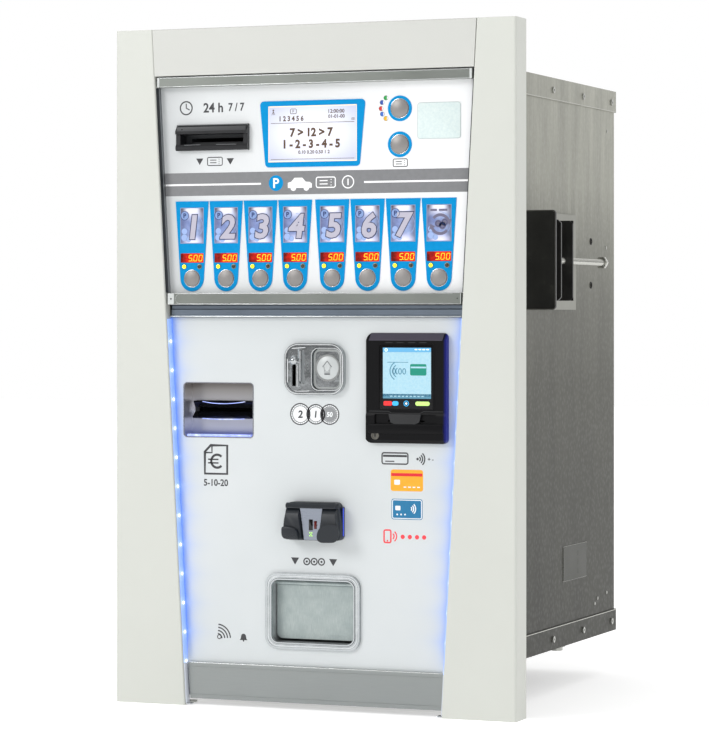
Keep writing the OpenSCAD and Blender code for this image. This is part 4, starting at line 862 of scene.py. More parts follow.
class StationBays(bpy.types.Operator):
    """Adds the bay pictures, readouts, lamps and finishes the push buttons"""

    bl_idname = "station.bays"
    bl_label = "Bays and push buttons"

    def execute(self, context):
        size = sizes()
        # Carrier of the windows, red lenses and black sleeves, seen only round the parts that lie on them.
        dress(moulded("window_carrier", "#8F97B5", 0.3), "panel_windows")
        dress(moulded("dark_red_lens_body", "#3A0A08", 0.25), "bay_indicators")
        dress(moulded("black_nylon_sleeve", "#17181A", 0.5), "button_switches")

        # Backlit foil: brightest where the two lamps behind it are, lilac at the sides, blue towards the lower left.
        looks = {"Emission_Strength": 0.2, "Coat_Weight": 0.5}
        foil, tree, shader, coord = blank("backlit_picture_foil", "#A9B4E2", 0.2, **looks)
        part = add(tree, "SeparateXYZ", {"Vector": (coord, "UV")})

        def blob(u, v, su, sv):
            """Falls from 1 at (u, v) to 0: one less the length of the offset over its spread."""
            away = add(tree, "VectorMath", {0: (coord, "UV")}, _1=(u, v, 0.0), operation="SUBTRACT")
            scaled = add(tree, "VectorMath", {0: away}, _1=(1 / su, 1 / sv, 0.0), operation="MULTIPLY")
            far = add(tree, "VectorMath", {0: scaled}, operation="LENGTH")
            return remap(tree, (far, "Value"), 0.0, 1.0, 1.0, 0.0, interpolation_type="SMOOTHSTEP")

        cloud = noise(tree, coord, 150.0, 3.0)
        side = ramp(tree, (part, "X"), [(0.0, "#6E7699"), (0.3, "#8391BE"), (0.75, "#98A9D0"), (1.0, "#767B93")])
        shade = add(tree, "Mix", {6: side}, data_type="RGBA", blend_type="MULTIPLY", _0=0.5)
        speck = ramp(tree, (cloud, "Fac"), [(0.35, "#B7BCD4"), (0.65, "#FFFFFF")])
        tree.links.new(speck.outputs[0], shade.inputs[7])
        for u, v, su, sv, tint in (
            (0.5, 1.0, 0.75, 0.42, "#F3F1FC"),
            (0.55, 0.0, 0.6, 0.3, "#E9E6FF"),
            (0.0, 1.0, 0.3, 0.3, "#4C4656"),
            (1.0, 1.0, 0.3, 0.28, "#5A5468"),
        ):
            shade = add(tree, "Mix", {0: blob(u, v, su, sv), 6: (shade, 2)}, data_type="RGBA", _7=linear(tint))
        feed(shader, "Base Color", shade, 2)
        feed(shader, "Emission Color", shade, 2)

        outline = printed("slate_outline_ink", "#3A4060", 0.3)
        digit = lit("lilac_grey_digit", "#B5B2C0", 0.1, "#A9A6B6")
        bubble = printed("blue_bubble_ink", "#86A0CF", 0.3)
        badge = lit("pale_blue_badge", "#7F97C6", 0.12)
        badge_ink = printed("navy_badge_ink", "#26386B", 0.3)
        bubble_fill = lit("bubble_fill", "#97ADDA", 0.15)
        shape = Shape()
        rise = size.foil_rise
        for i, bay in enumerate(BAYS):
            x, z = bay[0], bay[2] + 78.5
            w, h = 35.6, 51.0
            front = PLATE_Y - rise
            area = (x - w / 2, z - h / 2, x + w / 2, z + h / 2)
            shape.add(plate(rounded_box(x, z, w, h, 0.8), PLATE_Y + 0.4, front, 0.1), 0, area)
            ink = (front + 0.05, front - 0.1)
            for bx, bz, r in ((-12.2, -8.5, 4.4), (-12.4, -17.8, 4.8), (-5.4, -20.6, 3.6)):
                shape.add(plate(circle(x + bx, z + bz, r, 24), *ink), 5)
                shape.add(stroke(circle(x + bx, z + bz, r, 24), 0.5, front + 0.05, front - 0.14, True), 3)
            shape.add(stroke(arc(x + 1, z - 1, 17.0, -48, 88, 26), 0.6, *ink), 3)
            top = (front, front - 0.3)
            if i < 7:
                text = str(i + 1)
                tall = size.digit_height * (1.0 if i else 1.02)
                shape.add(word(text, x + 2.6, z - 2.2, tall, front, front - 0.2, 2.9, 0.12), 1)
                shape.add(word(text, x + 2.6, z - 2.2, tall, front, front - 0.34, 1.55, 0.12), 2)
                px, pz = x - 11.6, z + 14.8
                shape.add(plate(circle(px, pz, 6.4, 32), *top), 4)
                shape.add(stroke(circle(px, pz, 6.4, 32), 0.8, front, front - 0.36, True), 6)
                shape.add(word("P", px + 0.2, pz, 6.6, front, front - 0.38, 0.3), 6)
            else:  # the last bay gives change: three coins between two bent arrows, under two bars
                for bx, bz in ((-1.0, -1.0), (5.4, -4.0), (9.0, 1.0)):
                    shape.add(plate(circle(x + bx, z + bz, 5.4, 28), front, front - 0.22), 7)
                    shape.add(stroke(circle(x + bx, z + bz, 3.7, 24), 0.7, front, front - 0.32, True), 6)
                for a0, a1 in ((25, 140), (205, 320)):
                    bow = arc(x + 2, z - 2, 13.5, a0, a1, 20)
                    shape.add(stroke(bow, 4.2, front, front - 0.26), 7)
                    tip, aim = bow[0], np.radians(a0 - 90)
                    along = np.array([np.cos(aim), np.sin(aim)])
                    across = np.array([-along[1], along[0]])
                    shape.add(plate([tip + along * 7, tip + across * 5.4, tip - across * 5.4], front, front - 0.26), 7)
                for x0, x1 in ((x - 13, x - 3), (x, x + 13)):
                    shape.add(stroke([(x0, z + 18.5), (x1, z + 18.5)], 3.2, *top), 7)
        arrow = printed("lilac_grey_arrow_ink", "#6C6980", 0.3)
        inks = [foil, outline, digit, bubble, badge, bubble_fill, badge_ink, arrow]
        shape.piece("bay_pictures", FIXED, inks, "lit_window")

        # Readouts: red filter over light-emitting segments, darker towards the left where no digit is lit.
        lens, tree, shader, coord = blank("red_filter_lens", "#7A0D08", 0.12, Emission_Strength=0.62, Coat_Weight=0.6)
        part = add(tree, "SeparateXYZ", {"Vector": (coord, "UV")})
        cloud = noise(tree, coord, 120.0)
        mixed = maths(tree, "ADD", (cloud, "Fac"), (part, "X"))
        mixed = maths(tree, "MULTIPLY", mixed, 0.5)
        shade = ramp(tree, mixed, [(0.25, "#560D0A"), (0.42, "#A5170C"), (0.56, "#D83212"), (0.72, "#C42410")])
        feed(shader, "Base Color", shade)
        feed(shader, "Emission Color", shade)
        amber = lit("amber_segment", "#FFB21E", 1.25, "#F0A018")
        shape = Shape()
        for bay in BAYS:
            x, z = bay[0], bay[2] + 30.6
            w, h = 37.4, 13.6
            area = (x - w / 2, z - h / 2, x + w / 2, z + h / 2)
            shape.add(plate(rounded_box(x, z, w, h, 0.6), PLATE_Y + 0.4, PLATE_Y - 0.25, 0.15), 0, area)
            digits = segment_digit("5.00", x + 5.8, z - 0.2, size.readout_height, PLATE_Y - 0.2, PLATE_Y - 0.4)
            shape.add_all(digits, 1)
        shape.piece("price_readouts", FIXED, [lens, amber], "red_lens")

        yellow = lit("yellow_lamp", "#E6EE1E", 1.9, "#C9D60A")
        ring = drawn_metal("lamp_ring", "#8E9080", 0.4)
        sensor = moulded("dark_sensor_window", "#3B3222", 0.2)
        base = PLATE_Y - 0.6
        socket = [(3.6, base + 0.4), (3.6, base - 0.2), (3.1, base - 0.4)]
        dome = [(2.9, base), (2.8, base - 0.7), (2.1, base - 1.3), (1.0, base - 1.65), (0.05, base - 1.7)]
        shape = Shape()
        for bay in BAYS:
            for side, slot in ((-1, 0), (1, 2)):
                x, z = bay[0] + side * 12.4, bay[2] + 17.7
                shape.add(turned(x, z, socket, 24), 1)
                shape.add(turned(x, z, dome, 24), slot)
        shape.piece("bay_lamps", FIXED, [yellow, ring, sensor], "red_lens", 50)

        # Push-button caps: turned nickel-plated brass, satin on top, with a fine lip in the film's hole, pale as a
        # painted highlight.
        nickel = drawn_metal("satin_nickel_cap", "#928F8D", 0.46, (1, 1, 1), 0.35, 0.05, 0.6)
        dress(nickel, *BAY_BUTTONS, *SERVICE_BUTTONS)
        lip = drawn_metal("nickel_lip_painted_highlight", "#D9D2CB", 0.18, (1, 1, 1), 0.35, 0.05)
        shape = Shape()
        for node in BAY_BUTTONS + SERVICE_BUTTONS:
            low, high = corners(node)
            x, z = centre(node)[[0, 2]]
            r = (high[0] - low[0]) / 2
            steps = ((0.35, 0.5), (1.3, 0.5), (1.3, -0.15), (0.8, -0.3), (0.35, -0.1))
            shape.add(turned(x, z, [(r + out, PLATE_Y + y) for out, y in steps], 48, True), 0)
        shape.piece("button_rims", FIXED, [lip], "button_metal", 50)
        return {"FINISHED"}


# ---- lower panel ----


def card_sign(x, z, w, back, front):
    """A payment card: a filled rounded outline."""
    return plate(rounded_box(x, z, w, w * 0.62, w * 0.07, 4), back, front)


class StationLowerPanel(bpy.types.Operator):
    """Finishes the lower panel and its printed signs"""

    bl_idname = "station.lower_panel"
    bl_label = "Lower panel and signs"

    def execute(self, context):
        size, tone = sizes(), colours()
        # Powder coat washed by the strips: the light falls off over a few centimetres from each leaning post.
        panel, tree, shader, coord = blank("powder_coated_lower_panel", "#D5D9DA", 0.36, Emission_Strength=0.28)
        part = add(tree, "SeparateXYZ", {"Vector": (coord, "Object")})
        across = maths(tree, "ABSOLUTE", (part, "X"))
        slope = (OPENING_HIGH - OPENING_LOW) / 1000
        lean = maths(tree, "MULTIPLY_ADD", (part, "Z"), slope, OPENING_LOW / 1000)
        gap = maths(tree, "SUBTRACT", lean, across)
        ripple = remap(tree, lamp_distance(tree, (part, "Z")), 0.0, 0.5, 0.8, 1.15)
        reach = maths(tree, "MULTIPLY", gap, ripple)
        level = maths(tree, "EXPONENT", maths(tree, "MULTIPLY", reach, -1000 / size.glow_reach))
        foot = remap(tree, (part, "Z"), 0.06, 0.11, interpolation_type="SMOOTHSTEP")
        level = maths(tree, "MULTIPLY", level, foot, use_clamp=True)
        soil = noise(tree, coord, 5.0, 3.0)
        plain = ramp(tree, (soil, "Fac"), [(0.3, "#CFD4D5"), (0.7, "#D6DADB")])
        # painted shadow of the shelf: the panel darker over its top few centimetres
        shaded = remap(tree, (part, "Z"), 0.53, 0.615, 1.0, 0.88)
        plain = add(tree, "VectorMath", {0: plain, "Scale": shaded}, operation="SCALE")
        washed = add(tree, "Mix", {0: level, 6: plain}, data_type="RGBA", _7=linear("#5C8FE4"))
        feed(shader, "Base Color", washed, 2)
        shine = add(tree, "Mix", {0: level}, data_type="RGBA", _6=(0, 0, 0, 1), _7=linear(hex_of(tone.glow)))
        feed(shader, "Emission Color", shine, 2)
        peel = noise(tree, coord, 700.0)
        bump(tree, shader, (peel, "Fac"), 0.1, 0.05)
        dress(panel, "lower_panel")

        ink = printed("dark_grey_panel_ink", hex_of(tone.ink))
        pale = printed("pale_panel_ink", "#E8EBEC", 0.35)
        red = printed("signal_red_ink", "#D8202C", 0.35)
        orange = printed("warm_orange_ink", "#F5A623", 0.35)
        blue = printed("petrol_blue_ink", "#14709C", 0.35)
        rose = printed("rose_red_ink", "#E8424B", 0.35)
        grey = printed("mid_grey_ink", "#8A8C8E", 0.35)
        y, rise = PANEL_Y, size.print_rise
        at, over, top = (y + LIP, y - rise), (y, y - 2 * rise), (y, y - 3 * rise)
        shape = Shape()
        # slots: 0 dark ink, 1 pale, 2 grey, 3 red, 4 orange, 5 blue, 6 rose
        # banknote sign: a sheet with a folded corner, and the notes that are taken
        x0, x1, z0, z1, cut = -176.6, -140.4, 342.0, 384.0, 9.5
        sheet = [(x0, z0), (x1, z0), (x1, z1), (x0 + cut, z1), (x0, z1 - cut)]
        shape.add(stroke(sheet, 3.9, *at, True), 0)
        fold = [(x0 + 1, z1 - cut - 1.4), (x0 + cut + 2, z1 - cut - 1.4), (x0 + cut + 2, z1 - 1)]
        shape.add(stroke(fold, 2.4, *at), 0)
        shape.add(stroke(arc(-156.6, 360.6, 9.6, 44, 316, 26), 3.5, *at), 0)
        for k in (-2.4, 2.4):
            shape.add(stroke([(-171.5, 360.6 + k * 1.1), (-154.5, 360.6 + k * 1.1)], 2.1, *at), 0)
        shape.add(word("5-10-20", -158.6, 329.0, 9.6, *at, 0.32, 0, 0.92), 0)
        # coins: reeded rim, inner ring and a number
        cz = 431.8
        for cx, r, text, tall in ((23.2, 15.2, "50", 6.6), (1.2, 15.0, "1", 9.5), (-23.2, 16.2, "2", 10.5)):
            shape.add(plate(circle(cx, cz, r, 40), *at), 1)
            shape.add(stroke(circle(cx, cz, r - 0.9, 40), 1.7, *over, True), 0)
            shape.add(stroke(circle(cx, cz, r - 4.0, 40), 0.8, *over, True), 0)
            for a in np.linspace(0, 2 * math.pi, 24, endpoint=False):
                out = np.array([math.cos(a), math.sin(a)])
                shape.add(stroke([(cx, cz) + out * (r - 3.4), (cx, cz) + out * (r - 2.0)], 0.55, *over), 0)
            dark = text == "50"
            if dark:
                shape.add(plate(circle(cx, cz, r - 4.8, 36), *over), 2)
            shape.add(word(text, cx, cz, tall, *top, 0.35, 0.1), 1 if dark else 0)
        # card signs, in place of any payment scheme's own mark
        shape.add(stroke(rounded_box(125, 369.6, 40, 16, 3, 4), 2.0, *at, True), 0)
        shape.add(stroke([(106.5, 373.2), (143.5, 373.2)], 3.0, *at), 0)
        shape.add(stroke([(110, 365.4), (124, 365.4)], 1.6, *at), 0)
        for r in (4.2, 7.6, 11.0):
            shape.add(stroke(arc(160, 369.4, r, -48, 48, 14), 1.9, *at), 0)
        shape.add(plate(circle(160, 369.4, 1.9, 14), *at), 0)
        shape.add(word("+ -", 180.0, 369.4, 5.5, *at, 0.2), 0)
        shape.add(card_sign(143.4, 338.2, 50, *at), 4)
        shape.add(stroke([(119.4, 346.4), (167.4, 346.4)], 4.4, *over), 3)
        shape.add(plate(rounded_box(128.4, 335.4, 9.0, 7.2, 1.4, 4), *over), 1)
        for k in range(4):
            shape.add(stroke([(138.4 + k * 7, 328.6), (142.6 + k * 7, 328.6)], 1.7, *over), 1)
        shape.add(card_sign(143.6, 296.6, 48, *at), 5)
        shape.add(stroke(rounded_box(143.6, 296.6, 44.8, 26.6, 2.4, 4), 1.2, *over, True), 1)
        shape.add(plate(rounded_box(129.6, 298.2, 8.0, 6.6, 1.2, 3), *over), 1)
        for r in (3.4, 6.4, 9.4):
            shape.add(stroke(arc(147.6, 297.4, r, -46, 46, 12), 1.6, *over), 1)
        for k in range(3):
            shape.add(plate(circle(128.6 + k * 6, 289.0, 1.3, 10), *over), 1)
        shape.add(stroke(rounded_box(113.4, 257.0, 10.5, 18, 2.2, 4), 2.2, *at, True), 6)
        shape.add(plate(circle(113.4, 250.6, 1.2, 10), *at), 6)
        for r in (5.0, 9.0):
            shape.add(stroke(arc(118.6, 257.2, r, -50, 50, 14), 1.9, *at), 6)
        for x in (137, 148, 159, 170):
            shape.add(plate(circle(x, 256.8, 3.24, 16), *at), 6)
        # change sign: coins between two triangles
        shape.add_all([triangle_down(-31.6, 217.0, 12.6, *at), triangle_down(28.6, 216.4, 12.6, *at)], 0)
        for x in (-13.0, -1.4, 10.2):
            shape.add(stroke(circle(x, 216.8, 4.7, 20), 1.9, *at, True), 0)
            shape.add(plate(circle(x, 216.8, 1.7, 12), *at), 0)
        # alarm sign: a small ring with four quarter arcs, and a bell
        shape.add(stroke(circle(-153.2, 101.4, 2.9, 16), 1.3, *at, True), 0)
        for r in (7.0, 11.6, 16.2, 20.8):
            shape.add(stroke(arc(-156.0, 99.0, r, 4, 86, 16), 1.9, *at), 0)
        bell = np.concatenate([[(-7, -4), (7, -4), (5, -1.6)], arc(0, 2, 4.4, 0, 180, 12), [(-5, -1.6)]])
        shape.add(plate(bell * 0.9 + (-114, 101.6), *at), 0)
        shape.add(plate(circle(-114, 97.0, 1.3, 10), *at), 0)
        shape.piece("lower_panel_prints", FIXED, [ink, pale, grey, red, orange, blue, rose], "panel_paint")
        return {"FINISHED"}


class StationCash(bpy.types.Operator):
    """Finishes the banknote recess, the coin bezel, the return button and the change cup"""

    bl_idname = "station.cash"
    bl_label = "Banknotes, coins and change"

    def execute(self, context):
        # Recess: brushed steel, painted bluish and bright at its floor, where the lamps shine on it, and painted shade
        # under its roof.
        steel, tree, shader, coord = blank("lamp_lit_stainless_recess", "#C8C8D0", 0.28, 0.75, Emission_Strength=0.5)
        part = add(tree, "SeparateXYZ", {"Vector": (coord, "Object")})
        climb = remap(tree, (part, "Z"), 0.396, 0.477)
        tints = [(0.0, "#8F96B4"), (0.18, "#BBBECD"), (0.5, "#C9CAD2"), (0.85, "#A9A6A4"), (1.0, "#6E6864")]
        shade = ramp(tree, climb, tints)
        feed(shader, "Base Color", shade)
        glows = [(0.0, "#343E98"), (0.06, "#1F2446"), (0.3, "#1A1C2C"), (0.6, "#101018"), (1.0, "#000000")]
        shine = ramp(tree, climb, glows)
        feed(shader, "Emission Color", shine)
        lines = lines_along(tree, coord, (0.02, 1, 1), 2200.0)
        bump(tree, shader, (lines, "Fac"), 0.1, 0.05)
        dress(steel, "bill_recess")
        dress(moulded("gloss_black_mouth", "#08090D", 0.14), "bill_mouth")
        dress(moulded("grey_validator_case", "#33363A", 0.5), "bill_validator", "coin_validator")
        # Clear lip of the mouth: moulded polycarbonate with a blue lamp behind it, its white flecks painted highlights.
        looks = {"Emission_Strength": 0.8, "Coat_Weight": 1.0}
        clear, tree, shader, coord = blank("lit_polycarbonate_lip", "#AFC0F5", 0.12, **looks)
        glow_and_glints = noise(tree, coord, 70.0)
        shade = ramp(tree, (glow_and_glints, "Fac"), [(0.35, "#3340A8"), (0.55, "#7C8BEF"), (0.7, "#E8ECFF")])
        feed(shader, "Emission Color", shade)
        mouth_y = corners("bill_mouth")[0][1]
        x, z = centre("bill_mouth")[[0, 2]]
        shape = Shape()
        # two arched lips: y comes forward with 1-u^2, and the edge droops with the same curve
        for z_edge, droop, depth in ((z + 12.0, 3.0, 3.0), (z - 13.2, 1.0, 2.0)):
            rings = []
            for u in np.linspace(-1, 1, 33):
                bow = 1 - u * u
                lx, ly, lz = x + u * 34, mouth_y + 1.2 - depth * bow, z_edge - droop * bow
                rings.append([(lx, ly, lz - 0.5), (lx, ly + 5, lz - 0.5), (lx, ly + 5, lz + 0.5), (lx, ly, lz + 0.5)])
            shape.add(stack(rings), 0)
        shape.add(plate(rounded_box(x, 398.6, 104, 3.4, 1.2), PANEL_Y + 8, PANEL_Y + 1.2, 0.6), 0)
        shape.piece("note_mouth_lips", FIXED, [clear], "black_gloss", 40)
        # Rim of the opening: a rolled steel edge round the recess.
        rim = drawn_metal("rolled_steel_rim", "#9C9EA6", 0.22, (0.02, 1, 1), 0.4, 0.08)
        shape = Shape()
        shape.add(stroke(rounded_box(x, 436.2, 112.4, 80.4, 5.4, 6), 1.3, PANEL_Y + 1.5, PANEL_Y - 0.5, True), 0)
        shape.piece("note_recess_rim", FIXED, [rim], "stainless", 40)

        # Coin bezel: chromium-plated zinc casting, with pale lines as painted highlights and dark lines as painted
        # reflections.
        chrome, tree, shader, coord = blank("chrome_plated_casting", "#B4B8BA", 0.12, 1.0)
        wave = noise(tree, coord, 60.0)
        rough = remap(tree, (wave, "Fac"), 0.0, 1.0, 0.07, 0.2)
        feed(shader, "Roughness", rough)
        bump(tree, shader, (wave, "Fac"), 0.25, 0.5)
        dress(chrome, "coin_bezel")
        well = moulded("pale_grey_well", "#ABAFAE", 0.3)
        bright = moulded("bezel_edge_painted_highlight", "#E2E5E6", 0.12)
        dark_reflection = moulded("painted_dark_reflection_line", "#4C4F52", 0.3)
        shadow = moulded("smoked_clear_plastic", "#7E8284", 0.15)
        dark = moulded("dark_slot_lining", "#24272B", 0.4)
        cx, cz = centre("coin_bezel")[[0, 2]]
        front = PANEL_Y - 8.0
        bx, bz = centre("return_button")[[0, 2]]
        shape = Shape()
        # the pale and dark closed lines below are painted highlights and painted reflections
        # closed lines round the bezel and round the well of its button: place, size, corner, width, back, front, slot
        for x, w, h, r, width, back, face, slot in (
            (cx, 88.5, 69.5, 18.4, 2.4, 0.8, -0.9, 0),
            (bx - 1, 46.0, 61.0, 11.2, 1.5, 0.6, -1.1, 0),
            (cx, 90.6, 71.6, 19.2, 0.9, 0.4, -0.95, 4),
            (cx, 85.2, 66.2, 16.6, 0.8, 0.4, -0.6, 5),
            (bx - 1, 48.6, 63.6, 12.2, 0.8, 0.4, -0.7, 5),
            (bx - 1, 46.4, 61.4, 11.2, 0.7, 0.2, -1.25, 4),
        ):
            shape.add(stroke(rounded_box(x, cz, w, h, r, 8), width, front + back, front + face, True), slot)
        well_line = inset(rounded_box(bx - 1, cz, 44.4, 59.4, 10.4, 8), 2.2)
        shape.add(stroke(well_line, 2.8, front + 4.6, front + 3.7, True), 1)
        # open lines: painted highlights along the casting's edges, and the chrome posts and dark line beside the coin
        # slot
        slot_x = -29.5
        for path, width, back, face, slot in (
            ([(-40.2, 478), (-40.2, 512)], 1.2, 0.4, -0.5, 4),
            ([(-24.8, 472), (-24.8, 506)], 0.9, 0.4, -0.5, 4),
            ([(-20.4, 480), (-20.4, 524)], 0.7, 0.4, -0.5, 4),
            ([(-36, 466.4), (-24, 465.2), (-6, 466.0)], 1.0, 0.4, -0.5, 4),
            ([(-36, 527.6), (-12, 529.4)], 1.0, 0.4, -0.5, 4),
            ([(slot_x - 6.6, 474), (slot_x - 6.6, 512)], 3.0, 0.5, -1.4, 0),
            ([(slot_x + 6.8, 470), (slot_x + 6.8, 509)], 2.0, 0.5, -1.2, 0),
            ([(slot_x - 3.4, 473), (slot_x - 3.4, 503)], 1.2, 1.5, -0.3, 3),
        ):
            shape.add(stroke(path, width, front + back, front + face), slot)
        shape.add(plate(rounded_box(-14.5, cz + 3, 8.6, 48, 1.5), front + 3.2, front + 2.5, 0.3), 2)
        hood = np.concatenate([arc(slot_x, 507, 8.6, 0, 180, 16), arc(slot_x, 507, 4.2, 180, 0, 12)])
        shape.add(plate(hood, front + 1.0, front - 2.4, 0.7), 0)
        shape.piece("coin_bezel_trims", FIXED, [chrome, well, shadow, dark, bright, dark_reflection], "chrome_plate", 40)

        button = moulded("satin_white_button", "#C3C7C7", 0.28)
        dress(button, "return_button")
        ink = printed("dark_button_ink", "#55585B")
        face = corners("return_button")[0][1]
        depth = (face + 1.3, face + 0.15)
        shape = Shape()
        arrow = np.array([(-5.4, 1), (-8.2, 1), (0, 11), (8.2, 1), (5.4, 1), (5.4, -2.6), (-5.4, -2.6)])
        shape.add(stroke(arrow * 0.86 + (bx, bz + 0.6), 0.95, *depth, True), 0)
        shape.add(stroke(rounded_box(bx, bz - 4.6, 8.6, 2.6), 0.8, *depth, True), 0)
        shape.add(plate(rounded_box(bx, bz - 8.8, 8.6, 1.9), *depth), 0)
        shape.piece("return_button_sign", "return_button", [ink], "white_plastic")
        # ring round the button, behind its face
        cover = moulded("grey_button_surround", "#8F9190", 0.3)
        shape = Shape()
        steps = ((17.4, 4.4), (19.6, 4.4), (19.6, 2.9), (18.6, 2.3), (17.4, 2.9))
        shape.add(turned(bx, bz, [(r, front + y) for r, y in steps], 56, True), 0)
        shape.piece("return_button_collar", FIXED, [cover], "white_plastic", 40)

        # Change cup: chromed rim, satin lining behind it, satin flap.
        cup, tree, shader, coord = blank("chromed_cup_with_satin_lining", "#A4A8AA", 0.12)
        part = add(tree, "SeparateXYZ", {"Vector": (coord, "Object")})
        rim_y, lining_y = PANEL_Y / 1000 - 0.003, PANEL_Y / 1000 + 0.004
        feed(shader, "Metallic", ramp(tree, remap(tree, (part, "Y"), rim_y, lining_y), [(0.0, 1.0), (1.0, 0.3)]))
        dull = remap(tree, (part, "Y"), rim_y, lining_y, 0.1, 0.4)
        feed(shader, "Roughness", dull)
        wave = noise(tree, coord, 60.0)
        bump(tree, shader, (wave, "Fac"), 0.25, 0.5)
        shade = ramp(tree, (wave, "Fac"), [(0.3, "#969B9D"), (0.7, "#B2B6B8")])
        feed(shader, "Base Color", shade)
        dress(cup, "change_cup")
        flap, tree, shader, coord = blank("satin_stainless_flap", "#AAB4B3", 0.4, 0.75)
        lines = lines_along(tree, coord, (1, 1, 0.05), 1600.0)
        mottle = noise(tree, coord, 45.0, 5.0, 0.65)
        both = maths(tree, "MULTIPLY", (lines, "Fac"), (mottle, "Fac"))
        shade = ramp(tree, both, [(0.1, "#9AA5A5"), (0.3, "#AEB8B6"), (0.45, "#BBC3C1")])
        feed(shader, "Base Color", shade)
        bump(tree, shader, (lines, "Fac"), 0.12, 0.05)
        dress(flap, "change_flap")
        cup_y = corners("change_cup")[0][1]
        cx, cz = centre("change_cup")[[0, 2]]
        shape = Shape()
        # chrome beads round the cup, with dark and pale lines as painted reflections and painted highlights
        for w, h, r, width, back, face, slot in (
            (131.5, 93.5, 12, 1.6, 1.0, -1.1, 0),
            (145.5, 107.5, 17.3, 1.4, 1.2, -0.5, 0),
            (133.6, 95.6, 13, 0.8, 0.3, -0.3, 1),
            (147.6, 109.6, 18.3, 0.8, 1.6, 0.6, 1),
            (140.0, 102.0, 15.4, 0.8, 0.3, -0.25, 2),
        ):
            shape.add(stroke(rounded_box(cx, cz, w, h, r, 8), width, cup_y + back, cup_y + face, True), slot)
        shape.piece("change_cup_beads", FIXED, [chrome, dark_reflection, bright], "chrome_plate", 40)
        dress(drawn_metal("box_grey_paint", "#41454B", 0.5, metallic=0.1), "cash_box")
        return {"FINISHED"}


